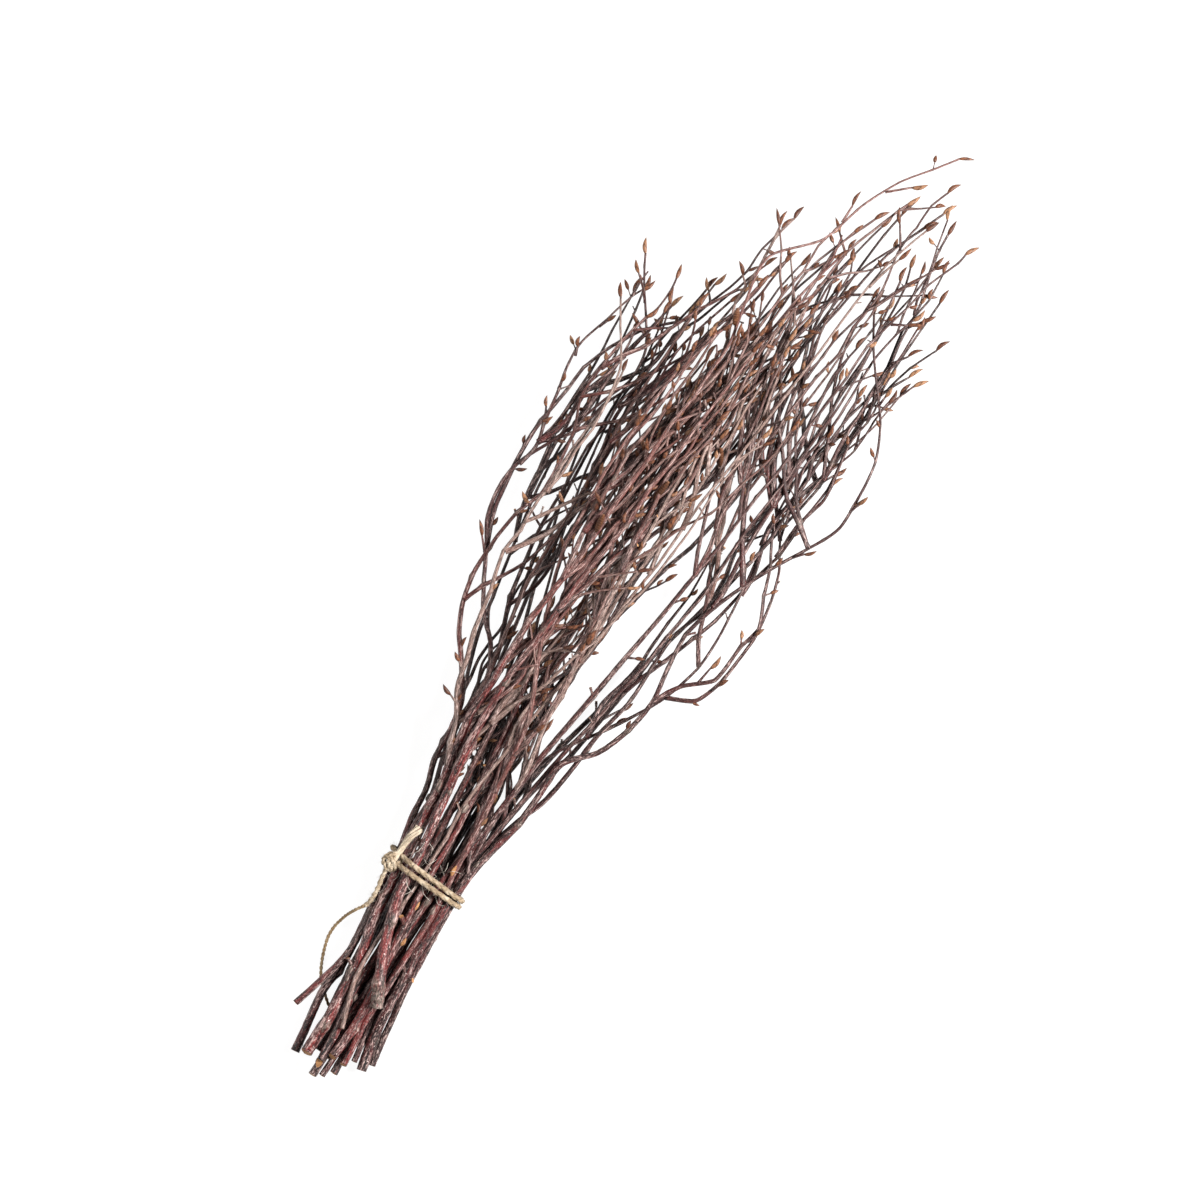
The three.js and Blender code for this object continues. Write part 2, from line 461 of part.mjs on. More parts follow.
function tryTwiglet(chain, link, tip) {
  const root = chain.points[link].clone().lerp(chain.points[link + 1], 0.5);
  const along = chain.points[link + 1].clone().sub(chain.points[link]).normalize();
  const reach = tip.clone().sub(root);
  const long = reach.length();
  const angle = reach.angleTo(along);
  if (angle < 0.38 || angle > 1.15 || chain.taken?.has(link)) return false;
  const out = reach.clone().normalize();
  const sway = along.clone().addScaledVector(out, -along.dot(out)).normalize();
  const parent = Math.min(chain.radii[link], chain.radii[link + 1]);
  const points = [root];
  const radii = [Math.min(twigletRadius, parent * 0.5)];
  const bud = Math.min(budLength, long * 0.5);
  if (long > 30) {
    points.push(root.clone().addScaledVector(out, long * 0.5).addScaledVector(sway, -long * 0.05));
    radii.push(twigletRadius * 0.95);
  }
  points.push(root.clone().addScaledVector(out, long - bud));
  radii.push(twigletRadius * 0.85);
  points.push(root.clone().addScaledVector(out, long - bud * 0.6), root.clone().addScaledVector(out, long));
  radii.push(budRadius, 0.25);
  if (!clearOf(points, radii, chain, link)) return false;
  const twiglet = { points, radii, chain, link };
  twiglets.push(twiglet);
  chain.twiglets.push(twiglet);
  (chain.taken ??= new Set()).add(link);
  return true;
}

// Buds that show at the edge of the bundle or on top of it, as [x, y] of the tip.
const seenTips = [
  [313, 93], [347, 89], [167, 58], [249, -37], [373, 44], [429, 53], [440, 34], [475, 8], [474, -6],
  [460, 13], [447, -2], [414, -33], [430, -29], [422, -27], [392, -31], [208, 38], [212, 41], [245, 25],
  [173, 13], [182, 62], [237, 87], [300, 94], [280, 92], [330, 97], [372, 96], [352, 84], [398, 58],
  [385, 66], [455, 31], [484, 12], [466, -8], [452, -20], [438, -25], [408, -38], [385, -38],
  [345, -50], [312, -45], [291, -37], [270, -46], [242, -46], [202, -19], [228, -10], [262, -10],
  [285, 16], [322, 10], [338, 26], [310, 60], [268, 65],
];
for (const [x, y] of seenTips) {
  const options = [];
  for (const chain of all)
    for (let link = 1; link < chain.rest.length - 3; link++) {
      const a = chain.points[link];
      const b = chain.points[link + 1];
      const root = a.clone().lerp(b, 0.5);
      const far = Math.hypot(x - root.x, y - root.y);
      if (far < 7 || far > 40) continue;
      for (const lift of [0.15, 0.45, -0.2, 0.8]) {
        const tip = new THREE.Vector3(x, y, root.z + far * lift);
        options.push([far + 12 * Math.abs(lift), chain, link, tip]);
      }
    }
  options.sort((a, b) => a[0] - b[0]);
  options.some(([, chain, link, tip]) => tryTwiglet(chain, link, tip));
}
const seen = twiglets.length;

const wanted = 13;
for (let tries = 0; twiglets.length < seen + wanted && tries < 6000; tries++) {
  const chain = all[Math.floor(random() * all.length)];
  const link = 1 + Math.floor(random() * (chain.rest.length - 4));
  const root = chain.points[link].clone().lerp(chain.points[link + 1], 0.5);
  if (link < 1 || root.x < 135) continue;
  const { along, across, side } = chain.frames[link];
  const turn = between(0, 2 * Math.PI);
  const angle = between(0.5, 0.95);
  const long = between(9, 38) * (root.x < 180 ? 0.5 : 1);
  const out = across.clone().multiplyScalar(Math.cos(turn)).addScaledVector(side, Math.sin(turn));
  const way = along.clone().multiplyScalar(Math.cos(angle)).addScaledVector(out, Math.sin(angle));
  const tip = root.clone().addScaledVector(way, long);
  const [low, high, middle, half] = ovalAt(tip.x);
  if (tip.z > high + 6 || Math.abs(tip.y - middle) > half + 4 || tip.x > 490) continue;
  tryTwiglet(chain, link, tip);
}

// Solids of the twigs: rods, forks cut clear of what they grow from, twiglets fused on.
const solids = {};
for (const chain of all) {
  let body = solid(bentRod(chain.points, chain.radii, chain.frames, chain.sides));
  if (chain.parent) {
    const { parent, at } = chain;
    const from = Math.max(0, at - 4);
    const to = Math.min(parent.points.length, at + 5);
    const wide = gap / Math.cos(Math.PI / parent.sides) + 0.02;
    const radii = parent.radii.slice(from, to).map((r) => r + wide);
    const cutter = solid(
      bentRod(parent.points.slice(from, to), radii, parent.frames.slice(from, to), parent.sides));
    body = biggest(body.subtract(cutter));
  }
  for (const { points, radii } of chain.twiglets) {
    const frames = framesOf(points, new THREE.Vector3(0.1, 0.3, 1).normalize());
    body = body.add(solid(bentRod(points, radii, frames, 3)));
  }
  solids[chain.name] = body;
}

// The tie: two turns of twine round the twigs, a knot on the upper edge, a short end, a long end
// and a thin tail.
function hullOf(x) {
  const spots = [];
  for (const chain of all)
    for (let i = 0; i < chain.rest.length; i++) {
      const [a, b] = [chain.points[i], chain.points[i + 1]];
      if ((a.x - x) * (b.x - x) > 0) continue;
      const f = (x - a.x) / (b.x - a.x);
      const far = mix(chain.radii[i], chain.radii[i + 1], f) * 1.03 + gap + twineRadius + 0.2;
      for (let k = 0; k < 20; k++)
        spots.push([mix(a.y, b.y, f) + far * Math.cos((k * Math.PI) / 10),
          mix(a.z, b.z, f) + far * Math.sin((k * Math.PI) / 10)]);
    }
  spots.sort((p, q) => p[0] - q[0] || p[1] - q[1]);
  const bend = (o, p, q) => (p[0] - o[0]) * (q[1] - o[1]) - (p[1] - o[1]) * (q[0] - o[0]);
  const half = (list) => {
    const line = [];
    for (const p of list) {
      while (line.length > 1 && bend(line[line.length - 2], line[line.length - 1], p) <= 0) line.pop();
      line.push(p);
    }
    line.pop();
    return line;
  };
  return [...half(spots), ...half([...spots].reverse())];
}

// The same loop with fewer corners: each side is as long as it can be without cutting one off.
function thinned(loop, slack) {
  const kept = [loop[0]];
  let from = 0;
  for (let to = 2; to <= loop.length; to++) {
    const [a, b] = [loop[from], loop[to % loop.length]];
    const long = Math.hypot(b[0] - a[0], b[1] - a[1]);
    const off = (p) => Math.abs((b[0] - a[0]) * (p[1] - a[1]) - (b[1] - a[1]) * (p[0] - a[0])) / long;
    if (loop.slice(from + 1, to).every((p) => off(p) < slack)) continue;
    from = to - 1;
    kept.push(loop[from]);
  }
  return kept;
}

function loopRod(loop, lean, radius, sides) {
  const count = loop.length;
  const ring = new THREE.CylinderGeometry(1, 1, 1, sides, count, true);
  const spots = ring.attributes.position;
  const at = (k) => {
    const [y, z] = loop[((k % count) + count) % count];
    return new THREE.Vector3(lean(y, z), y, z);
  };
  for (let k = 0; k < spots.count; k++) {
    const level = Math.round((spots.getY(k) + 0.5) * count);
    const along = at(level + 1).sub(at(level - 1)).normalize();
    const across = new THREE.Vector3(1, 0, 0).addScaledVector(along, -along.x).normalize();
    const side = across.clone().cross(along);
    const spot = at(level).addScaledVector(across, spots.getX(k) * radius);
    spot.addScaledVector(side, spots.getZ(k) * radius);
    spots.setXYZ(k, spot.x, spot.y, spot.z);
  }
  return solid(ring);
}

// How high a ball of a radius lies over the twigs at a place seen from above.
function topAt(x, y, radius) {
  let top = radius;
  for (const chain of all)
    for (let i = 0; i < chain.rest.length; i++) {
      const [a, b] = [chain.points[i], chain.points[i + 1]];
      if (Math.min(a.x, b.x) > x + 8 || Math.max(a.x, b.x) < x - 8) continue;
      const [dx, dy] = [b.x - a.x, b.y - a.y];
      const f = THREE.MathUtils.clamp(((x - a.x) * dx + (y - a.y) * dy) / (dx * dx + dy * dy), 0, 1);
      const off = Math.hypot(a.x + f * dx - x, a.y + f * dy - y);
      const reach = mix(chain.radii[i], chain.radii[i + 1], f) + radius + gap + 0.1;
      if (off < reach) top = Math.max(top, mix(a.z, b.z, f) + Math.sqrt(reach ** 2 - off ** 2));
    }
  return top;
}

const loops = turnAt.map((x) => thinned(hullOf(x), 0.22));
const lean = [0.02, 0.05]; // the turns cross a little aslant and meet on the lower edge
const leans = turnAt.map((x, i) => (y) => x + lean[i] * (y - 15));
const turns = loops.map((loop, i) => loopRod(loop, leans[i], twineRadius, 6));

// The upper side of the turns at a y, where the knot sits.
const loopTop = (loop, y) => {
  let top = -1;
  loop.forEach((p, i) => {
    const q = loop[(i + 1) % loop.length];
    if ((p[0] - y) * (q[0] - y) <= 0 && p[0] !== q[0])
      top = Math.max(top, mix(p[1], q[1], (y - p[0]) / (q[0] - p[0])));
  });
  return top;
};
const knotAt = new THREE.Vector3(88.2, 31.2, 0);
knotAt.z = loopTop(loops[0], knotAt.y) + twineRadius + 1.3;

const stringRod = (points, radii, sides) =>
  solid(bentRod(points, radii, framesOf(points, new THREE.Vector3(0.1, 0.2, 1).normalize()), sides));

// The knot: a lump with a loop laid round it. The same made larger cuts the room that it needs.
function knotBody(more) {
  const lump = new THREE.SphereGeometry(1, 8, 6);
  lump.rotateX(Math.PI / 2);
  lump.scale(3.9 + more, 3.5 + more, 2.6 + more);
  lump.translate(knotAt.x, knotAt.y, knotAt.z);
  const laid = new THREE.TorusGeometry(2.9, twineRadius + more, 5, 10);
  laid.scale(1.15, 1, 1);
  laid.rotateX(0.5);
  laid.rotateZ(0.4);
  laid.translate(knotAt.x - 0.5, knotAt.y + 0.6, knotAt.z + 0.5);
  return solid(lump).add(solid(laid));
}
const wide = gap / Math.cos(Math.PI / 6) + 0.03;
const cutters = loops.map((loop, i) => loopRod(loop, leans[i], twineRadius + wide, 6));
for (const chain of all) {
  if (chain.parent) continue;
  const from = chain.points.findIndex((p) => p.x > 70) - 1;
  const to = chain.points.findIndex((p) => p.x > 100) + 1;
  const radii = chain.radii.slice(from, to).map((r) => r + gap / Math.cos(Math.PI / chain.sides) + 0.03);
  const points = chain.points.slice(from, to);
  cutters.push(solid(bentRod(points, radii, chain.frames.slice(from, to), chain.sides)));
}
const knot = biggest(wasm.Manifold.difference([knotBody(0), ...cutters]));

// Let a string bridge dips and come down gently.
function eased(way) {
  for (let i = 1; i < way.length; i++)
    way[i].z = Math.max(way[i].z, way[i - 1].z - 0.5 * way[i].distanceTo(way[i - 1]));
  for (let i = way.length - 2; i > 0; i--)
    way[i].z = Math.max(way[i].z, (way[i - 1].z + way[i + 1].z) / 2 - 0.6);
}

const shortRadii = [1.3, 1.35, 1.45, 1.6, 1.85, 1.95];
const laidOn = (way, radii, back) => way.map(([x, y], i) => {
  const room = radii[i] + 0.1;
  return new THREE.Vector3(x, y, Math.max(topAt(x, y, room), topAt(x + back, y, room)));
});
const shortSpots = [[90, 30.6], [93.5, 30.7], [97, 30.9], [100.5, 30.9], [104, 30.3], [107.3, 29.4]];
const shortWay = laidOn(shortSpots, shortRadii, -1.7);
shortWay[0].z = Math.max(knotAt.z - 0.3, shortWay[0].z);
shortWay[1].z = Math.max(knotAt.z - 0.8, shortWay[1].z);
eased(shortWay);
const knotRoom = knotBody(gap + 0.05);
const cleared = (rod) => biggest(wasm.Manifold.difference([rod, knotRoom, ...cutters]));
const shortEnd = cleared(stringRod(shortWay, shortRadii, 6));

const longRadii = [1.3, 1.4, 1.45, 1.45, 1.4, 1.35];
const longSpots = [[86, 31], [82, 31.1], [78, 30.4], [74, 29.4], [69.7, 29], [65.4, 29.3]];
const longWay = laidOn(longSpots, longRadii, 2);
longWay[0].z = Math.max(knotAt.z - 0.3, longWay[0].z);
longWay[1].z = Math.max(knotAt.z - 1, longWay[1].z);
eased(longWay);
const longEnd = cleared(stringRod(longWay, longRadii, 6));

// The thin tail: it leaves the long end, comes down to the table and runs under two of the butts.
const tailWay = [
  [64, 29.9, 15], [60, 32.2, 12.6], [56, 33.9, 8.1], [52, 35, 4.5], [47.5, 35.7, 1.8],
  [42.2, 35.4, 0.95], [36.5, 33.6, 0.95], [31, 31.2, 0.95], [27.2, 29, 0.95], [24, 26.6, 0.95],
  [20.5, 22.6, 0.95], [17.8, 19, 0.95], [16.4, 17, 0.95],
].map(([x, y, z]) => new THREE.Vector3(x, y, z));
const tailCurve = new THREE.CatmullRomCurve3(tailWay, false, "centripetal");
const circle = new THREE.Shape();
circle.absarc(0, 0, tailRadius, 0, 2 * Math.PI);
const drawn = { steps: 15, curveSegments: 4, extrudePath: tailCurve };
const tail = solid(new THREE.ExtrudeGeometry(circle, drawn));

// The frame's origin is the middle of the footprint, on the table; the free tail isn't counted.
const counted = [...Object.values(solids), ...turns, knot, shortEnd, longEnd];
const boxes = counted.map((body) => body.boundingBox());
const lowest = [0, 1, 2].map((k) => Math.min(...boxes.map((box) => box.min[k])));
const highest = [0, 1, 2].map((k) => Math.max(...boxes.map((box) => box.max[k])));
const group = new THREE.Group();
group.name = "bundle";
group.position.set(-(lowest[0] + highest[0]) / 2, -(lowest[1] + highest[1]) / 2, -lowest[2]);
const bark = ["#4a2a2b", "#5b3432", "#3e2426", "#6a4138", "#503031"];
function show(name, body, color, roughness) {
  const { numProp, vertProperties, triVerts } = body.getMesh();
  const spots = new Float32Array((vertProperties.length / numProp) * 3);
  for (let k = 0; k < spots.length / 3; k++)
    spots.set(vertProperties.subarray(k * numProp, k * numProp + 3), k * 3);
  const geometry = new THREE.BufferGeometry();
  geometry.setAttribute("position", new THREE.BufferAttribute(spots, 3));
  geometry.setIndex(new THREE.BufferAttribute(new Uint32Array(triVerts), 1));
  geometry.computeVertexNormals();
  const mesh = new THREE.Mesh(geometry, new THREE.MeshStandardMaterial({ color, roughness }));
  mesh.name = name;
  group.add(mesh);
}
Object.entries(solids).forEach(([name, body], i) => show(name, body, bark[i % bark.length], 0.55));

turns.forEach((body, i) => show(`twine_turn_${i + 1}`, body, "#d9c9a3", 0.9));
show("twine_knot", knot, "#e2d4b2", 0.9);
show("twine_short_end", shortEnd, "#efe4c8", 0.9);
show("twine_long_end", longEnd, "#d9c9a3", 0.9);
show("twine_tail", tail, "#b9a273", 0.9);

export default group;
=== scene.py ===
import bpy
import bmesh
import json
import math
import random
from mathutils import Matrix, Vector, noise
from mathutils.bvhtree import BVHTree


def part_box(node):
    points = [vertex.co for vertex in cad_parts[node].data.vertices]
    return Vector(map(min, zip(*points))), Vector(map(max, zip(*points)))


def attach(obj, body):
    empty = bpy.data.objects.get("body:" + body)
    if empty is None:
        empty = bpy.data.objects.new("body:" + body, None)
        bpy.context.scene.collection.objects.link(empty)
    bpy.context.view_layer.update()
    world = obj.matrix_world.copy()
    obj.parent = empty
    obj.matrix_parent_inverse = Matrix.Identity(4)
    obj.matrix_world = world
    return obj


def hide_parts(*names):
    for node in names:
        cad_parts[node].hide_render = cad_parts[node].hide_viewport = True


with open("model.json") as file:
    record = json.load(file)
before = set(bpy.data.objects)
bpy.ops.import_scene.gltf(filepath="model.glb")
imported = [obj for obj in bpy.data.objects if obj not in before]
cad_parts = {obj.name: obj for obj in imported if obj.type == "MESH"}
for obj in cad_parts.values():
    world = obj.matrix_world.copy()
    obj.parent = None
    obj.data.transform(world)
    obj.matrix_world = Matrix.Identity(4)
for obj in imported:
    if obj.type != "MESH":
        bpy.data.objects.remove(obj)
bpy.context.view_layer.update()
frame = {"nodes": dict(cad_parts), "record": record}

nodes = frame["nodes"]
mm = 0.001
slots = {part["node"]: part["material_slot"] for part in frame["record"]["subparts"]}

# camera: straight above, the bundle points to the upper right of the picture
view = {
    "middle": (-0.0039, -0.0022),  # the spot in the middle of the picture, metres
    "turn": -55.0,  # degrees
    "wide": 0.540,  # metres across the picture, at the height below
    "height": 0.025,
    "lens": 150.0,
}
camera = bpy.data.objects.new("camera", bpy.data.cameras.new("camera"))
bpy.context.scene.collection.objects.link(camera)
camera.data.lens = view["lens"]
camera.data.sensor_width = 36
away = view["wide"] * view["lens"] / camera.data.sensor_width
camera.location = (*view["middle"], view["height"] + away)
camera.rotation_euler = (0, 0, math.radians(view["turn"]))
bpy.context.scene.camera = camera
print("camera", round(away, 3), "m above the twigs")

# lines and rods: what every twig, shoot and string is made of


def smoothLine(points, radii, step, bend=0.5):
    # evenly stepped spots, with a radius each; bend 0.5 is a round curve, less is more angular
    line = []
    for i in range(len(points) - 1):
        a = points[max(0, i - 1)]
        b = points[i]
        c = points[i + 1]
        d = points[min(len(points) - 1, i + 2)]
        count = max(1, round((c - b).length / step))
        for k in range(count):
            t = k / count
            ease = t * t * (3 - 2 * t)
            spot = b + (c - b) * ease + (c - a) * bend * (t - 2 * t * t + t ** 3)
            spot += (d - b) * bend * (t ** 3 - t * t)
            line.append((spot, radii[i] + (radii[i + 1] - radii[i]) * t))
    line.append((points[-1].copy(), radii[-1]))
    return [spot for spot, _ in line], [radius for _, radius in line]


def framesAlong(spots):
    across = Vector((0.12, 0.35, 0.93))
    out = []
    for i in range(len(spots)):
        along = (spots[min(i + 1, len(spots) - 1)] - spots[max(i - 1, 0)]).normalized()
        across = (across - along * across.dot(along)).normalized()
        out.append((along, across.copy(), along.cross(across)))
    return out


def addRod(bm, spots, radii, sides, tint, shape=None, material=0, capMaterial=None):
    # a flat sheet bent round the line and sewn up; its UV is (turn, millimetres along)
    uvs = bm.loops.layers.uv["UVMap"]
    tints = bm.verts.layers.float_color["tint"]
    frames = framesAlong(spots)
    grid = bmesh.ops.create_grid(bm, x_segments=sides, y_segments=len(spots) - 1, size=1)["verts"]
    rows = [grid[k * (sides + 1):(k + 1) * (sides + 1)] for k in range(len(spots))]
    along = random.uniform(0, 3000)
    place = {}
    for k, row in enumerate(rows):
        if k:
            along += (spots[k] - spots[k - 1]).length / mm
        _, across, side = frames[k]
        for j, v in enumerate(row):
            turn = 2 * math.pi * (j % sides) / sides
            reach = radii[k] * (shape(turn, k) if shape else 1)
            v.co = spots[k] + (across * math.cos(turn) + side * math.sin(turn)) * reach
            v[tints] = tint(turn, k)
            place[v] = (j / sides, along)
    for f in {f for v in grid for f in v.link_faces}:
        f.smooth = True
        f.material_index = material
        for loop in f.loops:
            loop[uvs].uv = place[loop.vert]
    bmesh.ops.remove_doubles(bm, verts=grid, dist=1e-6)
    left = [v for v in grid if v.is_valid]
    rims = [e for e in {e for v in left for e in v.link_edges} if e.is_boundary]
    caps = bmesh.ops.holes_fill(bm, edges=rims, sides=0)["faces"]
    for f in caps:
        f.material_index = material if capMaterial is None else capMaterial
        f.smooth = False
    return caps


def newForm():
    bm = bmesh.new()
    bm.loops.layers.uv.new("UVMap")
    bm.verts.layers.float_color.new("tint")
    return bm


def finishForm(bm, name, materials, slot, replaced):
    for v in bm.verts:
        v.co.z = max(v.co.z, 0.05 * mm)
    bmesh.ops.recalc_face_normals(bm, faces=bm.faces)
    mesh = bpy.data.meshes.new(name)
    bm.to_mesh(mesh)
    bm.free()
    for material in materials:
        mesh.materials.append(material)
    shown = bpy.data.objects.new(name, mesh)
    bpy.context.scene.collection.objects.link(shown)
    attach(shown, "root")
    if replaced:
        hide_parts(*replaced)
    return shown


# material helpers


def newMaterial(name):
    material = bpy.data.materials.new(name)
    material.use_nodes = True
    tree = material.node_tree
    return material, tree, tree.nodes["Principled BSDF"]


def feed(tree, socket, value):
    if isinstance(value, bpy.types.NodeSocket):
        tree.links.new(value, socket)
    elif isinstance(value, tuple) and len(value) == 3 and socket.type == "RGBA":
        socket.default_value = (*value, 1)
    else:
        socket.default_value = value


def mixed(tree, factor, a, b):
    node = tree.nodes.new("ShaderNodeMix")
    node.data_type = "RGBA"
    feed(tree, node.inputs["Factor"], factor)
    feed(tree, node.inputs[6], a)
    feed(tree, node.inputs[7], b)
    return node.outputs[2]


def ranged(tree, value, low, high, bottom=0.0, top=1.0):
    node = tree.nodes.new("ShaderNodeMapRange")
    node.interpolation_type = "SMOOTHSTEP"
    feed(tree, node.inputs["Value"], value)
    node.inputs["From Min"].default_value = low
    node.inputs["From Max"].default_value = high
    node.inputs["To Min"].default_value = bottom
    node.inputs["To Max"].default_value = top
    return node.outputs["Result"]


def worked(tree, operation, a, b=0.0, c=0.0):
    node = tree.nodes.new("ShaderNodeMath")
    node.operation = operation
    for socket, value in zip(node.inputs, (a, b, c)):
        feed(tree, socket, value)
    return node.outputs["Value"]


def uvOf(tree):
    uv = tree.nodes.new("ShaderNodeUVMap")
    uv.uv_map = "UVMap"
    parts = tree.nodes.new("ShaderNodeSeparateXYZ")
    tree.links.new(uv.outputs["UV"], parts.inputs["Vector"])
    return parts.outputs["X"], parts.outputs["Y"]


def wrapped(tree, thick, along):
    # the turn round a rod made a circle, so that no pattern has a seam
    u, v = uvOf(tree)
    turn = worked(tree, "MULTIPLY", u, 2 * math.pi)
    join = tree.nodes.new("ShaderNodeCombineXYZ")
    tree.links.new(worked(tree, "MULTIPLY", worked(tree, "COSINE", turn), thick), join.inputs["X"])
    tree.links.new(worked(tree, "MULTIPLY", worked(tree, "SINE", turn), thick), join.inputs["Y"])
    tree.links.new(worked(tree, "MULTIPLY", v, along), join.inputs["Z"])
    return join.outputs["Vector"]


def tintOf(tree):
    tint = tree.nodes.new("ShaderNodeAttribute")
    tint.attribute_name = "tint"
    parts = tree.nodes.new("ShaderNodeSeparateColor")
    tree.links.new(tint.outputs["Color"], parts.inputs["Color"])
    return parts.outputs["Red"], parts.outputs["Green"], parts.outputs["Blue"]


def noiseAt(tree, where, scale=1.0, detail=3.0, rough=0.55):
    node = tree.nodes.new("ShaderNodeTexNoise")
    feed(tree, node.inputs["Vector"], where)
    node.inputs["Scale"].default_value = scale
    node.inputs["Detail"].default_value = detail
    node.inputs["Roughness"].default_value = rough
    return node.outputs["Fac"]


def bumped(tree, shader, height, distance, strength=0.6):
    bump = tree.nodes.new("ShaderNodeBump")
    bump.inputs["Strength"].default_value = strength
    bump.inputs["Distance"].default_value = distance
    feed(tree, bump.inputs["Height"], height)
    tree.links.new(bump.outputs["Normal"], shader.inputs["Normal"])


# bark: maroon skin with red patches, dark cracks, lengthwise streaks of pale bloom, and small pale pores
# tint holds red = a twig's own tone with painted shade, darker low in the bundle, green = how thin, blue =
# how near a knob
barkTones = {
    "bark_dark": {
        "deep": (0.0050, 0.0026, 0.0029),
        "skin": (0.050, 0.0155, 0.0155),
        "red": (0.135, 0.0165, 0.0165),
        "bloom": (0.53, 0.385, 0.358),
        "knob": (0.12, 0.098, 0.08),
        "thin": (0.046, 0.0095, 0.0085),
        "thinPale": (0.195, 0.098, 0.079),
    },
    "bark_red": {
        "deep": (0.0085, 0.003, 0.0032),
        "skin": (0.085, 0.0172, 0.0168),
        "red": (0.19, 0.019, 0.0185),
        "bloom": (0.59, 0.418, 0.388),
        "knob": (0.14, 0.11, 0.09),
        "thin": (0.080, 0.0125, 0.0108),
        "thinPale": (0.215, 0.092, 0.074),
    },
    "bark_pale": {
        "deep": (0.022, 0.012, 0.010),
        "skin": (0.155, 0.083, 0.068),
        "red": (0.20, 0.088, 0.068),
        "bloom": (0.62, 0.49, 0.45),
        "knob": (0.22, 0.175, 0.145),
        "thin": (0.14, 0.070, 0.054),
        "thinPale": (0.38, 0.265, 0.225),
    },
}
barkFinish = {
    "rough": 0.52,
    "gloss": 0.4,
    "coat": 0.1,
    "streak": 0.13,
    "fleck": 0.34,
    "pores": 0.5,
    "poreTone": (0.74, 0.62, 0.59),
    "bump": 0.34 * mm,
}


def barkMaterial(name, tones):
    material, tree, shader = newMaterial(name)
    shade, thin, knob = tintOf(tree)
    long = noiseAt(tree, wrapped(tree, 0.7, 0.045), 1.0, 2)
    streak = noiseAt(tree, wrapped(tree, 1.5, barkFinish["streak"]), 1.0, 5, 0.65)
    fleck = noiseAt(tree, wrapped(tree, 3.0, barkFinish["fleck"]), 1.0, 4, 0.65)
    skin = mixed(tree, ranged(tree, streak, 0.38, 0.57), tones["deep"], tones["skin"])
    redness = worked(tree, "MULTIPLY", ranged(tree, long, 0.42, 0.58), ranged(tree, streak, 0.4, 0.56))
    skin = mixed(tree, redness, skin, tones["red"])
    # thin wood pale on twigs that lie high and dark on low ones: a random tone per twig together with
    # painted shade
    slender = mixed(tree, ranged(tree, shade, 0.32, 0.92), tones["thin"], tones["thinPale"])
    slender = mixed(tree, ranged(tree, fleck, 0.54, 0.38), slender, tones["deep"])
    skin = mixed(tree, ranged(tree, thin, 0.35, 0.9, 0.0, 0.85), skin, slender)
    # painted shade: the lower a twig and a spot lie in the bundle, the more the bark turns to deep
    skin = mixed(tree, ranged(tree, shade, 0.42, 0.0, 0.0, 0.85), skin, tones["deep"])
    scarred = worked(tree, "MULTIPLY", knob, ranged(tree, fleck, 0.38, 0.52))
    skin = mixed(tree, scarred, skin, tones["knob"])
    bare = ranged(tree, long, 0.62, 0.42, -0.05, 0.035)
    bloom = worked(tree, "MULTIPLY_ADD", streak, 0.4, worked(tree, "MULTIPLY_ADD", fleck, 0.6, bare))
    skin = mixed(tree, ranged(tree, bloom, 0.53, 0.625, 0.0, 0.85), skin, tones["bloom"])
    crackDepth = worked(tree, "MULTIPLY_ADD", knob, 0.5, 0.45)
    crack = worked(tree, "MULTIPLY", ranged(tree, fleck, 0.43, 0.35), crackDepth)
    skin = mixed(tree, crack, skin, tones["deep"])
    grit = noiseAt(tree, wrapped(tree, 6.0, 0.9), 1.0, 2, 0.5)
    skin = mixed(tree, ranged(tree, grit, 0.47, 0.36, 0.0, 0.75), skin, tones["deep"])
    smooth = ranged(tree, thin, 0.4, 0.95, 1.0, 0.4)
    bright = worked(tree, "MULTIPLY", ranged(tree, grit, 0.57, 0.68, 0.0, 0.5), smooth)
    skin = mixed(tree, bright, skin, tones["bloom"])
    pores = tree.nodes.new("ShaderNodeTexVoronoi")
    tree.links.new(wrapped(tree, 1.6, 0.9), pores.inputs["Vector"])
    pores.inputs["Scale"].default_value = barkFinish["pores"]
    dots = worked(tree, "MULTIPLY", ranged(tree, pores.outputs["Distance"], 0.14, 0.08),
                  ranged(tree, thin, 0.7, 0.3, 0.0, 0.95))
    skin = mixed(tree, dots, skin, barkFinish["poreTone"])
    feed(tree, shader.inputs["Base Color"], skin)
    shader.inputs["Roughness"].default_value = barkFinish["rough"]
    shader.inputs["Specular IOR Level"].default_value = barkFinish["gloss"]
    shader.inputs["Coat Weight"].default_value = barkFinish["coat"]
    shader.inputs["Coat Roughness"].default_value = 0.3
    bumped(tree, shader, worked(tree, "ADD", streak, fleck), barkFinish["bump"], 0.9)
    return material


woodTones = {"dark": (0.27, 0.115, 0.045), "pale": (0.53, 0.29, 0.125), "stain": (0.16, 0.06, 0.025)}


def woodMaterial():
    material, tree, shader = newMaterial("cut_wood")
    place = tree.nodes.new("ShaderNodeTexCoord").outputs["Object"]
    grain = noiseAt(tree, place, 1400, 4)
    patch = noiseAt(tree, place, 260, 2)
    tone = mixed(tree, ranged(tree, grain, 0.35, 0.65), woodTones["dark"], woodTones["pale"])
    tone = mixed(tree, ranged(tree, patch, 0.5, 0.7, 0.0, 0.6), tone, woodTones["stain"])
    feed(tree, shader.inputs["Base Color"], tone)
    shader.inputs["Roughness"].default_value = 0.8
    bumped(tree, shader, grain, 0.3 * mm)
    return material


budTones = {
    "dark": (0.070, 0.022, 0.011),
    "brown": (0.21, 0.082, 0.038),
    "light": (0.36, 0.195, 0.105),
    "shaded": (0.055, 0.018, 0.011),
    "edge": (0.018, 0.007, 0.006),
}


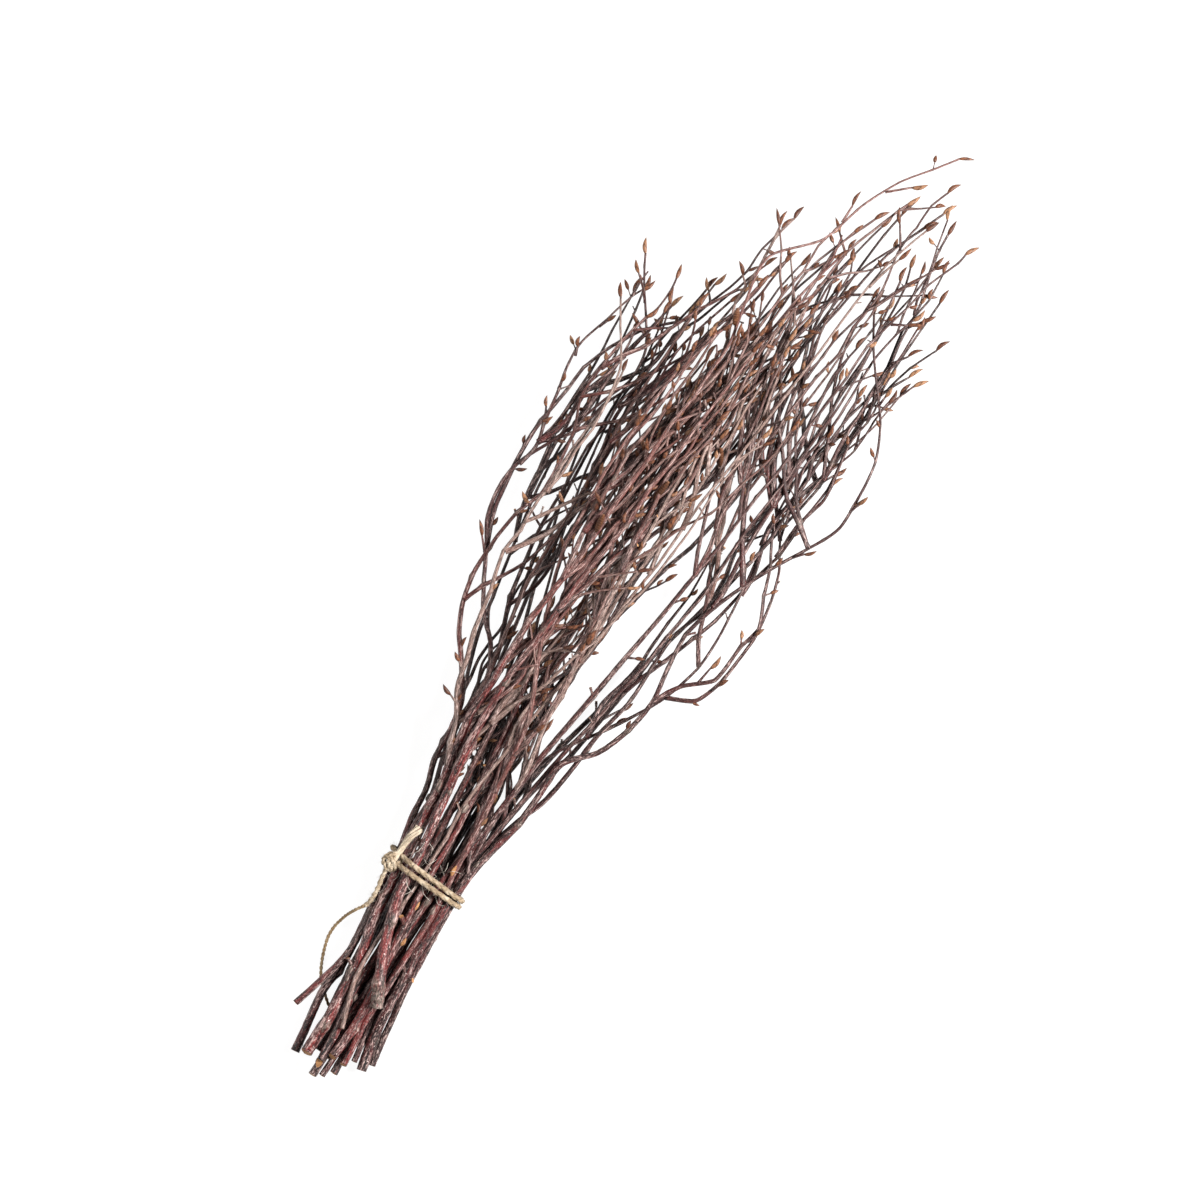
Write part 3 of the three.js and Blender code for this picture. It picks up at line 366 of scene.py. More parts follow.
def budMaterial():
    # pointed scales that overlap, dark at their edges; blue in tint is each bud's own shade
    material, tree, shader = newMaterial("bud")
    shade = tintOf(tree)[2]
    u, v = uvOf(tree)
    point = worked(tree, "PINGPONG", worked(tree, "MULTIPLY", u, 6.0), 1.0)
    row = worked(tree, "MULTIPLY_ADD", v, 3.4, worked(tree, "MULTIPLY", point, 0.55))
    scale = worked(tree, "FRACT", row)
    place = tree.nodes.new("ShaderNodeTexCoord").outputs["Object"]
    grain = noiseAt(tree, place, 1100, 3)
    tone = mixed(tree, ranged(tree, grain, 0.3, 0.7), budTones["dark"], budTones["brown"])
    tone = mixed(tree, ranged(tree, shade, 0.55, 1.0, 0.0, 0.8), tone, budTones["light"])
    tone = mixed(tree, ranged(tree, shade, 0.3, 0.0, 0.0, 0.7), tone, budTones["shaded"])
    tone = mixed(tree, ranged(tree, scale, 0.72, 0.95, 0.0, 0.85), tone, budTones["edge"])
    feed(tree, shader.inputs["Base Color"], tone)
    shader.inputs["Roughness"].default_value = 0.5
    shader.inputs["Specular IOR Level"].default_value = 0.4
    bumped(tree, shader, scale, 0.25 * mm, 0.8)
    return material


twineTones = {
    "twine": ((0.105, 0.066, 0.034), (0.47, 0.355, 0.225), (0.80, 0.71, 0.56)),
    "twine_thin": ((0.14, 0.088, 0.043), (0.42, 0.30, 0.17), (0.60, 0.48, 0.31)),
    "twine_fibre": ((0.5, 0.42, 0.33), (0.72, 0.65, 0.55), (0.9, 0.86, 0.78)),
}


def twineMaterial(name, dark, pale, bright):
    # fibres that run slantwise round each ply; red in tint is how bright a ply is
    material, tree, shader = newMaterial(name)
    shade = tintOf(tree)[0]
    u, v = uvOf(tree)
    turn = worked(tree, "MULTIPLY", worked(tree, "MULTIPLY_ADD", v, 0.22, u), 2 * math.pi)
    join = tree.nodes.new("ShaderNodeCombineXYZ")
    tree.links.new(worked(tree, "MULTIPLY", worked(tree, "COSINE", turn), 4.0), join.inputs["X"])
    tree.links.new(worked(tree, "MULTIPLY", worked(tree, "SINE", turn), 4.0), join.inputs["Y"])
    tree.links.new(worked(tree, "MULTIPLY", v, 0.3), join.inputs["Z"])
    fibre = noiseAt(tree, join.outputs["Vector"], 1.0, 5, 0.65)
    patch = noiseAt(tree, tree.nodes.new("ShaderNodeTexCoord").outputs["Object"], 240, 3)
    tone = mixed(tree, ranged(tree, fibre, 0.41, 0.58), dark, pale)
    tone = mixed(tree, ranged(tree, patch, 0.45, 0.7, 0.0, 0.6), tone, bright)
    tone = mixed(tree, shade, tone, bright)
    feed(tree, shader.inputs["Base Color"], tone)
    shader.inputs["Roughness"].default_value = 0.88
    shader.inputs["Specular IOR Level"].default_value = 0.2
    bumped(tree, shader, fibre, 0.5 * mm, 0.9)
    return material


barks = {name: barkMaterial(name, tones) for name, tones in barkTones.items()}
cutWood = woodMaterial()
budLook = budMaterial()
twineLook, tailLook, hairLook = [twineMaterial(name, *tones) for name, tones in twineTones.items()]
print("materials")

# the thin tail of the twine: its route repeats the points of the solid, millimetres on the photo's grid
gridAt = Vector((242.205, 24.094, 0))  # where the middle of the footprint is on that grid
tail = {
    "diameter": 1.7,
    "length": 60.3,
    "ply": 0.53,  # radius of each of the two plies
    "pitch": 4.2,
    "way": [
        (64, 29.9, 15), (60, 32.2, 12.6), (56, 33.9, 8.1), (52, 35, 4.5), (47.5, 35.7, 1.8),
        (42.2, 35.4, 0.95), (36.5, 33.6, 0.95), (31, 31.2, 0.95), (27.2, 29, 0.95), (24, 26.6, 0.95),
        (20.5, 22.6, 0.95), (17.8, 19, 0.95), (16.4, 17, 0.95),
    ],
}


def fromGrid(x, y, z):
    return (Vector((x, y, z)) - gridAt) * mm


def addTwine(bm, spots, plyRadius, pitch, shade=0.0, plies=2, spread=None):
    # plies wound round a line; spread widens the winding from spot to spot
    frames = framesAlong(spots)
    reach = [0.0]
    for a, b in zip(spots, spots[1:]):
        reach.append(reach[-1] + (b - a).length)
    for ply in range(plies):
        line = []
        for k, spot in enumerate(spots):
            turn = 2 * math.pi * (reach[k] / (pitch * mm) + ply / plies)
            _, across, side = frames[k]
            wide = plyRadius * mm * 0.6 * (spread[k] if spread else 1)
            line.append(spot + (across * math.cos(turn) + side * math.sin(turn)) * wide)
        radii = [plyRadius * mm * random.uniform(0.92, 1.08) for _ in line]
        addRod(bm, line, radii, 7, lambda turn, k: (shade, 0, 0, 1))


random.seed(11)
tailWay = [fromGrid(*point) for point in tail["way"]]
tailLine, _ = smoothLine(tailWay, [0] * len(tailWay), 0.8 * mm)
bm = newForm()
addTwine(bm, tailLine, tail["ply"], tail["pitch"])
tailShown = finishForm(bm, "twine_tail_shown", [tailLook], "twine_thin", ["twine_tail"])
tuple(tailWay[0])
[tuple(spot) for spot in tailLine]
print("tail of the twine")

# reading the middle lines of the twigs from the frame


def meshOf(node):
    bm = bmesh.new()
    bm.from_mesh(node.data)
    bmesh.ops.remove_doubles(bm, verts=bm.verts, dist=2e-5)
    return bm


def middleOf(verts):
    return sum((v.co for v in verts), Vector()) / len(verts)


def tipsOf(bm):
    # a bud's point: all its edges are as long as each other and run the same way
    found = []
    for v in bm.verts:
        ways = [e.other_vert(v).co - v.co for e in v.link_edges]
        lengths = [w.length for w in ways]
        if len(ways) not in (3, 4, 5) or min(lengths) < 0.85 * max(lengths):
            continue
        mean = sum((w.normalized() for w in ways), Vector()) / len(ways)
        if mean.length > 0.85 and 1.5 * mm < lengths[0] < 6 * mm:
            found.append(v)
    return found


def beyond(ring, seen, low, high):
    # the vertices one edge on from a ring, at a distance from its middle, and the rest of their own ring
    centre = middleOf(ring)
    reach = {e.other_vert(v) for v in ring for e in v.link_edges} - seen
    found = {v for v in reach if low < (v.co - centre).length < high}
    if not found:
        return found, 0
    far = sum((v.co - centre).length for v in found) / len(found)
    grown = set(found)
    while grown:
        step = {e.other_vert(v) for v in grown for e in v.link_edges if e.calc_length() < 7 * mm}
        level = {v for v in step if abs((v.co - centre).length - far) < 0.2 * far}
        grown = level - seen - found
        found |= grown
    return found, far


def walkTwig(tip):
    # from the tip to the butt: the bud's shoulder, the neck below it, then one ring a link
    rings = [{tip}]
    seen = {tip}
    ring = {e.other_vert(tip) for e in tip.link_edges}
    sides = len(ring)
    rings.append(ring)
    seen |= ring
    ring, _ = beyond(ring, seen, 2 * mm, 4.2 * mm)
    rings.append(ring)
    seen |= ring
    ring, link = beyond(ring, seen, 6 * mm, 80 * mm)
    while len(ring) >= sides:
        rings.append(ring)
        seen |= ring
        ring, _ = beyond(ring, seen, 0.75 * link, 1.25 * link)
    return rings


def walkShoot(tip):
    # a small shoot's rings, from its point to the last one before the twig that it grows from
    rings = [{tip}]
    seen = {tip}
    for _ in range(3):
        ring = {e.other_vert(v) for v in rings[-1] for e in v.link_edges} - seen
        if len(ring) != 3:
            break
        rings.append(ring)
        seen |= ring
    return [middleOf(ring) for ring in rings]


def slimmed(radii):
    # a little thinner towards the tip than the solid is
    last = len(radii) - 1
    return [radius * (1 - 0.12 * (k / last) ** 2) for k, radius in enumerate(radii)]


plan = {}
for name, node in sorted(nodes.items()):
    if not name.startswith("twig"):
        continue
    bm = meshOf(node)
    tips = tipsOf(bm)
    tip = max(tips, key=lambda v: len(v.link_edges))
    rings = walkTwig(tip)
    middles = [middleOf(ring) for ring in rings]
    radii = [max((v.co - middle).length for v in ring) for ring, middle in zip(rings, middles)]
    if "fork" in name:
        radii[-1] = radii[-2]
    plan[name] = {
        "tip": middles[0],
        "bud": radii[1],
        "line": middles[:1:-1],
        "radii": slimmed(radii[:1:-1]),
        "shoots": [walkShoot(v) for v in tips if len(v.link_edges) == 3],
    }
    bm.free()


def rootOf(line, spot, way):
    # where a shoot that points along way would leave a line
    best = None
    for a, b in zip(line, line[1:]):
        for k in range(6):
            on = a.lerp(b, k / 6)
            back = spot - on
            off = (back - way * back.dot(way)).length + 0.12 * back.length
            if back.dot(way) > 0 and (best is None or off < best[0]):
                best = (off, on)
    return best[1] if best else line[0]


for name, twig in plan.items():
    if "fork" not in name:
        continue
    stem = name.split("_fork")[0]
    others = [key for key in plan if key != name and key.split("_fork")[0] == stem]
    family = [plan[key]["line"] for key in others]
    start = twig["line"][1]
    way = (start - twig["line"][0]).normalized()
    ends = [rootOf(line, twig["line"][0] + way * 2 * mm, way) for line in family]
    twig["line"][0] = min(ends, key=lambda end: (end - twig["line"][0]).length)
    twig["radii"][0] = twig["radii"][1] * 1.2
print("read", len(plan), "twigs and", sum(len(twig["shoots"]) for twig in plan.values()), "side shoots")

# buds and spurs
bud = {
    "around": 10,
    "rows": 8,
    "wide": 2.2,  # millimetres
    "long": (5.5, 8.0),
    "small": (3.4, 5.2),
    "atShoots": 0.65,  # how often a small shoot ends in one
}


def addBud(bm, root, way, long, wide, look=2):
    # a spindle, blunt at its base and pointed at its tip
    tints = bm.verts.layers.float_color["tint"]
    turn = way.to_track_quat("Z", "Y")
    lean = random.uniform(-0.12, 0.12)
    shade = random.random()
    made = bmesh.ops.create_uvsphere(bm, u_segments=bud["around"], v_segments=bud["rows"],
                                     radius=0.5, calc_uvs=True)
    for v in made["verts"]:
        rise = min(1, max(0, v.co.z + 0.5))
        flat = Vector((v.co.x, v.co.y, 0))
        reach = 0.5 * math.sin(math.pi * rise ** 0.78) ** 0.85 * wide
        bow = lean * math.sin(math.pi * rise) * long
        spot = flat.normalized() * reach if 0.001 < rise < 0.999 else Vector()
        v.co = root + turn @ (spot + Vector((bow, 0, rise * long)))
        v[tints] = (0, rise, shade, 1)
    for f in {f for v in made["verts"] for f in v.link_faces}:
        f.material_index = look
        f.smooth = True


def addSpur(bm, root, way, long, radius, shade, withBud):
    # a short ringed side shoot, with a bud or a flat scar at its end
    count = max(4, round(long / (0.55 * mm)))
    spots = [root + way * long * k / count for k in range(count + 1)]
    radii = [radius * ((1.0, 0.8)[k % 2] + 0.12 * math.sin(k)) for k in range(count + 1)]
    capMaterial = 0 if withBud else 1
    addRod(bm, spots, radii, 7, lambda turn, k: (shade, 0.5, 0.7 * (k % 2), 1), None, 0, capMaterial)
    if withBud:
        addBud(bm, spots[-1] - way * 0.5 * mm, way, random.uniform(*bud["small"]) * mm * 1.15, 1.9 * mm)


# twigs
twigWays = {
    "step": (1.6, 2.2, 3.0),  # millimetres between rings on stems, forks and shoots
    "sides": (12, 8, 6),
    "nodes": ((13, 34), (10, 21), (7, 14)),  # millimetres from node to node
    "kink": (0.65, 1.05, 0.75),  # how far a node stands out of line, millimetres
    "swell": (0.48, 0.46, 0.45),  # how far a knob stands out, in radii
    "round": (0.05, 0.1, 0.15),  # how much of it goes all the way round
    "bud": 0.16,  # how often a thin twig's node has a bud, a spur, a shoot
    "spur": 0.16,
    "shoot": 0.42,
    "outside": 0.13,  # how many shoots grow outside the dense middle, against inside it
    "from": 0.118,  # metres from the lowest butt to the first shoots and buds
    "inwards": 0.2,  # up to here they point to the middle of the bundle
    "rough": 0.05,
    "branches": 156,  # inside the bundle, with no solid of their own
    "inNeck": 34,  # how many of them start in the neck
    "neckStarts": (0.092, 0.17),  # where they start, metres from the lowest butt
    "headStarts": (0.125, 0.34),
    "branchLong": (45, 150, 100),  # millimetres: shortest, longest, most often
    "branchThick": (0.9, 1.6),  # radius in millimetres
}


def nodesAlong(reach, gaps):
    # the ring numbers of the nodes, from the distance along at each ring
    marks = []
    at = random.uniform(*gaps) * mm * 0.6
    for k, far in enumerate(reach):
        if far >= at and 2 <= k < len(reach) - 2:
            marks.append(k)
            at = far + random.uniform(*gaps) * mm
    return marks


def addTwig(bm, line, radii, kind, shade, heel=0.0):
    # one kinked, knotted rod, gnarled for the length of its heel
    spots, rads = smoothLine(line, radii, twigWays["step"][kind] * mm, 0.36 if kind else 0.42)
    total = len(spots)
    frames = framesAlong(spots)
    reach = [0.0]
    for a, b in zip(spots, spots[1:]):
        reach.append(reach[-1] + (b - a).length)
    knees = nodesAlong(reach, twigWays["nodes"][kind])
    turn = random.uniform(0, 6.28)
    marks = [(0, Vector())]
    for knee in knees:
        turn += math.pi + random.uniform(-0.9, 0.9)
        _, across, side = frames[knee]
        out = across * math.cos(turn) + side * math.sin(turn)
        marks.append((knee, out * twigWays["kink"][kind] * mm * random.uniform(0.3, 1.3)))
    marks.append((total - 1, Vector()))
    for (a, one), (b, two) in zip(marks, marks[1:]):
        for k in range(a, b):
            spots[k] = spots[k] + one.lerp(two, (k - a) / (b - a))
    bulge = [0.0] * total
    lobe = [0.0] * total
    for knee in knees:
        size = random.uniform(0.15, 1.2) ** 1.5
        turnTo = random.uniform(0, 6.28)
        wide = (1.1 * mm + rads[knee] * 0.5) * random.uniform(0.7, 1.3)
        for k in range(max(0, knee - 4), min(total, knee + 5)):
            fall = math.exp(-((reach[k] - reach[knee]) / wide) ** 2) * size
            if fall > bulge[k]:
                bulge[k] = fall
                lobe[k] = turnTo
    crust = [max(0.0, 1 - (far / (heel * mm)) ** 2) if heel else 0.0 for far in reach]
    offset = random.uniform(0, 50)
    swell = twigWays["swell"][kind]
    around = twigWays["round"][kind]

    def lobed(turnAt, k):
        return bulge[k] * (around + (1 - around) * max(0, math.cos(turnAt - lobe[k])) ** 2)

    def shape(turnAt, k):
        place = Vector((math.cos(turnAt) * 1.3, math.sin(turnAt) * 1.3, offset + reach[k] / (2.2 * mm)))
        lump = noise.noise(place) + 1.6 * bulge[k] * noise.noise(place * 2.3)
        flat = 0.05 * math.sin(2 * turnAt + offset + reach[k] * 14)
        gnarl = crust[k] * (0.12 + 0.5 * noise.noise(place * 1.7))
        return 1 + 2.2 * twigWays["rough"] * lump + flat + swell * lobed(turnAt, k) + gnarl

    def tint(turnAt, k):
        thin = max(0.0, min(1.0, 1.3 - rads[k] / (1.9 * mm)))
        # red: the twig's tone times painted shade, darker the lower a spot lies below the bundle's top in
        # its strip
        rise = min(1.0, spots[k].z / tops.get(round(spots[k].x / strip), 0.06))
        scar = min(1, max(1.3 * lobed(turnAt, k), 1.6 * crust[k]))
        return (min(1.0, shade * (0.3 + rise)), thin, scar, 1)

    caps = addRod(bm, spots, rads, twigWays["sides"][kind], tint, shape)
    return {"spots": spots, "radii": rads, "frames": frames, "knees": knees, "caps": caps}


heels = {"twig_04": 13}  # torn off with a gnarled heel instead of cut, millimetres
slants = {"twig_11": 56, "twig_03": 30, "twig_05": 28, "twig_06": 24, "twig_10": 18}  # degrees
cut = {"rim": 0.3 * mm, "slant": 12}


def trimButt(bm, grown, name):
    # the cut face: slanted a little to face up, a rim of bark round the wood
    start = grown["spots"][0]
    face = min(grown["caps"], key=lambda f: (f.calc_center_median() - start).length)
    lean = math.tan(math.radians(slants.get(name, cut["slant"])))
    for v in face.verts:
        v.co += grown["frames"][0][0] * (v.co.z - start.z) * lean
    bmesh.ops.inset_individual(bm, faces=[face], thickness=cut["rim"], depth=0)
    face.material_index = 1


# marks that the photo shows on top of the twigs: x and y on its grid, what it is, its size in millimetres
marks = [
    (52.8, 19.7, "torn", 9.5), (67.2, 11.2, "stub", 4), (60.8, 5.3, "torn", 4), (78.3, 8.4, "torn", 5),
    (98, 6.2, "torn", 4.5), (124, 6.1, "bud", 6), (36.7, 19.3, "knob", 4), (33, 17.3, "knob", 3.4),
    (30.6, 8.9, "knob", 3.6), (45.5, -6.1, "stub", 3.5), (61.7, 27, "knob", 3.4), (67.9, -7.9, "knob", 4.2),
    (77.9, 4, "knob", 4.2), (101.9, 37.3, "knob", 3.6), (128.8, 33.3, "knob", 5), (120, 36, "knob", 3.6),
    (109, 0.5, "knob", 3.6), (126.6, 16.4, "knob", 4), (129.4, 27.4, "knob", 3.2), (145.5, 47.7, "stub", 6),
    (167.9, 56.7, "stub", 6), (184.4, 35, "knob", 4), (173.4, 10.7, "bud", 6.5), (218.7, 16.4, "bud", 9),
    (214, 17, "bud", 6), (240.7, 23.9, "bud", 10), (269.1, 47.1, "bud", 8), (281, 14.9, "bud", 9),
    (208, 38.3, "bud", 7), (344.4, 3.3, "cone", 10), (288.5, 28, "cone", 11), (333.5, 50.3, "bud", 9),
    (310, 52.4, "bud", 8), (262, 41, "cone", 9), (318, 12, "cone", 9), (372, 44, "cone", 8),
]


def onTop(x, y):
    # the topmost twig near a spot of the grid: its name, the spot on its line, its way and its radius
    place = fromGrid(x, y, 0)
    best = None
    for name, twig in plan.items():
        for a, b, radius in zip(twig["line"], twig["line"][1:], twig["radii"]):
            flat = (b - a).to_2d()
            t = max(0, min(1, (place - a).to_2d().dot(flat) / flat.length_squared))
            on = a.lerp(b, t)
            if (on - place).to_2d().length < radius + 1.6 * mm and (best is None or on.z > best[1].z):
                best = (name, on, (b - a).normalized(), radius)
    return best


def addKnob(bm, middle, way, size, shade):
    # a scarred lump on the bark, where a branch has grown out or been cut off
    tints = bm.verts.layers.float_color["tint"]
    uvs = bm.loops.layers.uv["UVMap"]
    turn = way.to_track_quat("Z", "Y")
    made = bmesh.ops.create_uvsphere(bm, u_segments=12, v_segments=9, radius=0.5, calc_uvs=True)
    offset = random.uniform(0, 60)
    for v in made["verts"]:
        lump = 1 + 0.45 * noise.noise(v.co * 3.2 + Vector((offset, 0, 0)))
        v.co = middle + turn @ Vector((v.co.x * 0.72, v.co.y * 0.72, v.co.z * 1.25)) * size * lump
        v[tints] = (shade, 0, 1, 1)
    for f in {f for v in made["verts"] for f in v.link_faces}:
        f.smooth = True
        for loop in f.loops:
            loop[uvs].uv.y *= size / mm


def addCone(bm, root, way, long, wide):
    # a ringed catkin
    count = round(long / (0.55 * mm))
    spots = [root + way * long * k / count for k in range(count + 1)]
    radii = []
    for k in range(count + 1):
        swell = math.sin(math.pi * (k + 0.6) / (count + 1.2)) ** 0.6
        radii.append(wide * (0.2 + 0.8 * swell) * (1, 0.8)[k % 2])
    addRod(bm, spots, radii, 9, lambda turn, k: (0, 0.5, 0.85 - 0.6 * (k % 2), 1), None, 2)


def addMark(bm, mark, shade):
    kind, size, on, way, out, radius = mark
    if kind == "torn":
        addBud(bm, on + out * radius * 0.5 - way * size * 0.65, way, size * 1.3, 2.1 * mm, 1)
    elif kind == "stub":
        stand = (way * 0.7 + out).normalized()
        addSpur(bm, on, stand, radius + size, min(radius * 0.7, 1.2 * mm), shade, False)
    elif kind == "bud":
        addBud(bm, on + out * radius * 0.6, (way + out * 0.3).normalized(), size, size * 0.34)
    elif kind == "cone":
        addCone(bm, on + out * radius * 0.7, (way + out * 0.3).normalized(), size, 1.6 * mm)
    else:
        addKnob(bm, on + out * radius * 0.55, way, size, shade)


def sideways(frames, k, lift):
    # a way out of a twig, mostly to the sides of the lying bundle
    way = frames[k][0]
    turn = random.choice((0, math.pi)) + random.uniform(-0.9, 0.9)
    flat = way.cross(Vector((0, 0, 1))).normalized()
    up = flat.cross(way)
    return way, (flat * math.cos(turn) + up * math.sin(turn) * lift).normalized()


def addShoot(bm, root, parentWay, out, long, shade):
    angle = random.uniform(0.35, 0.75)
    way = parentWay * math.cos(angle) + out * math.sin(angle)
    middle = root + way * long * 0.5 - out * long * random.uniform(-0.02, 0.06)
    tip = root + way * long + parentWay * long * 0.05
    line = [root, middle, tip]
    radii = [0.68 * mm, 0.52 * mm, 0.36 * mm]
    grown = addTwig(bm, line, radii, 2, shade)
    spots = grown["spots"]
    end = (spots[-1] - spots[-2]).normalized()
    if random.random() < bud["atShoots"]:
        addBud(bm, spots[-1] - end * 0.6 * mm, end, random.uniform(*bud["long"]) * mm,
               random.uniform(1.6, 2.2) * mm)
    for k in grown["knees"]:
        if random.random() < 0.22:
            way, out = sideways(grown["frames"], k, 1.0)
            addBud(bm, spots[k] + out * 0.2 * mm, (way + out * 0.4).normalized(), 4.2 * mm, 1.6 * mm)


def isInside(tip, room=6.5):
    # whether a tip is among the twigs of the solids, inside their outline and above the surface
    if tip.z < 3 * mm:
        return False
    near = barkTree.find_nearest(tip)
    low, high = outline.get(round(tip.x / strip), (1, -1))
    edge = (2.5 if tip.x < 0.09 else 0.5) * mm
    return near[3] is not None and near[3] < room * mm and low + edge < tip.y < high - edge


def addLife(bm, grown, kind, shade):
    # buds, spurs, scars and small shoots at the nodes of one twig
    spots = grown["spots"]
    for k in grown["knees"]:
        x = spots[k].x + gridAt.x * mm
        radius = grown["radii"][k]
        way, out = sideways(grown["frames"], k, 0.8)
        if out.z < 0 and spots[k].z < 4 * mm:
            out.z = -out.z
        chance = random.random()
        middle, half = coreAt(x / mm)
        off = spots[k].y / mm + gridAt.y - middle
        often = 1 if abs(off) < half else twigWays["outside"]
        if x < twigWays["inwards"] and off * out.y > 0:
            out.y = -out.y
        past = x - twigWays["from"]
        if past > 0 and radius < 1.5 * mm and kind < 2:
            if chance < twigWays["shoot"] * often * min(1, 0.3 + (x - 0.14) * 9):
                long = random.triangular(9, 34, 17) * mm * min(1, 0.35 + past * 9)
                if isInside(spots[k] + (way * 0.85 + out * 0.5) * (long + 6 * mm)):
                    addShoot(bm, spots[k], way, out, long, shade)
                    continue
            elif twigWays["shoot"] < chance < twigWays["shoot"] + twigWays["bud"]:
                hug = (way + out * random.uniform(0.3, 0.7)).normalized()
                addBud(bm, spots[k] + out * radius * 0.5, hug, random.uniform(*bud["small"]) * mm * 1.15,
                       random.uniform(1.5, 2.1) * mm)
                continue
        if chance > 1 - twigWays["spur"] and x > 0.03:
            stand = (way * random.uniform(0.5, 1.2) + out).normalized()
            thick = min(1.0 * mm, radius * 0.6)
            addSpur(bm, spots[k], stand, radius + random.uniform(1.5, 4.5) * mm, thick, shade,
                    random.random() < 0.5 and x > 0.21)


# the solids' outline and height, in strips across the bundle
strip = 0.01
outline = {}
tops = {}
allBark = bmesh.new()
for name, node in nodes.items():
    if name.startswith("twig"):
        allBark.from_mesh(node.data)
barkTree = BVHTree.FromBMesh(allBark)
for v in allBark.verts:
    for step in (-1, 0, 1):
        number = round(v.co.x / strip) + step
        low, high = outline.get(number, (1, -1))
        outline[number] = (min(low, v.co.y), max(high, v.co.y))
        tops[number] = max(tops.get(number, 0.01), v.co.z)
allBark.free()

# the dense middle of the head, as spots on the photo's grid: x, y and half its width
core = [
    (100, 17, 16), (120, 20, 18), (145, 24, 21), (180, 27, 20), (224, 28, 18), (257, 33, 17), (289, 36, 16),
    (320, 33, 15), (347, 33, 13), (373, 30.5, 11), (403, 25, 9), (434, 15, 7), (461, 8, 5), (480, 2, 3),
]


def coreAt(x):
    for (a, low, wide), (b, high, broad) in zip(core, core[1:]):
        if x <= b:
            f = max(0, (x - a) / (b - a))
            return low + (high - low) * f, wide + (broad - wide) * f
    return core[-1][1:]


def longBranch(line, pull, low, high):
    # a wavy way from a spot on a line towards the tips, drawn to the middle of the head or not
    start = random.choice(line[1:-2] or line[:1])
    at = start + gridAt * mm
    if not low < at.x < high:
        return None
    spread = random.uniform(-1, 1)
    long = random.triangular(*twigWays["branchLong"]) * mm
    spots = [start.copy()]
    slope = (line[-1] - line[0]).normalized()
    count = max(3, round(long / (17 * mm)))
    for k in range(1, count + 1):
        last = spots[-1]
        x = last.x + 16 * mm
        middle, half = coreAt((x + gridAt.x * mm) / mm)
        goal = (middle + spread * half - gridAt.y) * mm
        y = last.y + slope.y * 16 * mm * (1 - pull) + (goal - last.y) * 0.25 * pull
        z = last.z + slope.z * 10 * mm
        spots.append(Vector((x, y + random.gauss(0, 1.6) * mm, z + random.gauss(0, 1.4) * mm)))
    if not all(isInside(spot, 5.5) for spot in spots[1:]):
        return None
    return spots


def meanHeight(name):
    line = plan[name]["line"]
    return sum(spot.z for spot in line) / len(line)


random.seed(71)
marksOn = {name: [] for name in plan}
for x, y, kind, size in marks:
    found = onTop(x, y)
    if found:
        name, on, way, radius = found
        aside = (fromGrid(x, y, on.z / mm) - on) / mm
        out = (Vector((0, 0, 1)) + aside * 0.8).normalized()
        marksOn[name].append((kind, size * mm, on, way, (out - way * out.dot(way)).normalized(), radius))
print("marks", sum(len(found) for found in marksOn.values()), "of", len(marks))

height = sorted(plan, key=meanHeight)
names = sorted(plan)
longWays = {name: [] for name in plan}
for number in range(3000):
    # first the ones that fill the neck, from the lower twigs
    ways = sum(len(found) for found in longWays.values())
    if ways >= twigWays["branches"]:
        break
    neck = ways < twigWays["inNeck"]
    name = random.choice(height[:len(plan) // 2] if neck else names)
    low, high = twigWays["neckStarts"] if neck else twigWays["headStarts"]
    way = longBranch(plan[name]["line"], 1.0 if number % 8 else 0.15, low, high)
    if way and len(longWays[name]) < 4:
        longWays[name].append(way)
print("long branches", sum(len(found) for found in longWays.values()))


def endBud(bm, spot, tip, wide):
    # the bud that reaches from the end of a line to the solid's tip
    way = tip - spot
    long = way.length + 0.6 * mm
    way = way.normalized()
    addBud(bm, spot - way * 0.6 * mm, way, long, wide)


def growShoot(bm, twig, walked, shade):
    # a side shoot that the solid has too
    tip, _, neck = walked[:3]
    way = (neck - walked[3]).normalized() if len(walked) > 3 else (tip - neck).normalized()
    line = [rootOf(twig["line"], walked[-1], way)] + walked[:1:-1]
    small = addTwig(bm, line, [0.7 * mm] + [0.45 * mm] * (len(line) - 1), 2, shade)
    endBud(bm, small["spots"][-1], tip, random.uniform(1.8, 2.3) * mm)


def growBranch(bm, way, shade):
    thick = random.uniform(*twigWays["branchThick"]) * mm
    radii = [thick + (0.45 * mm - thick) * (k / (len(way) - 1)) ** 0.8 for k in range(len(way))]
    branch = addTwig(bm, way, radii, 1, shade)
    last = branch["spots"][-1]
    end = (last - branch["spots"][-2]).normalized()
    addBud(bm, last - end * 0.6 * mm, end, random.uniform(*bud["long"]) * mm, 2.0 * mm)
    addLife(bm, branch, 1, shade)


def growTwig(name, twig):
    bm = newForm()
    # painted shade: the lower a twig lies in the bundle, the darker it is, plus a random tone of its own
    shade = 0.08 + 0.8 * height.index(name) / len(plan) + random.uniform(-0.2, 0.2)
    shade = max(0.0, min(1.0, shade))
    kind = 1 if "fork" in name else 0
    grown = addTwig(bm, twig["line"], twig["radii"], kind, shade, heels.get(name, 0))
    if kind == 0 and name not in heels:
        trimButt(bm, grown, name)
    endBud(bm, grown["spots"][-1], twig["tip"], min(bud["wide"] * mm, twig["bud"] * 2))
    for walked in twig["shoots"]:
        growShoot(bm, twig, walked, shade)
    addLife(bm, grown, kind, shade)
    for mark in marksOn[name]:
        addMark(bm, mark, shade)
    for way in longWays[name]:
        growBranch(bm, way, shade)
    count = len(bm.faces)
    finishForm(bm, name + "_shown", [barks[slots[name]], cutWood, budLook], slots[name], [name])
    return count


print("twigs grown,", sum(growTwig(name, twig) for name, twig in plan.items()), "faces")

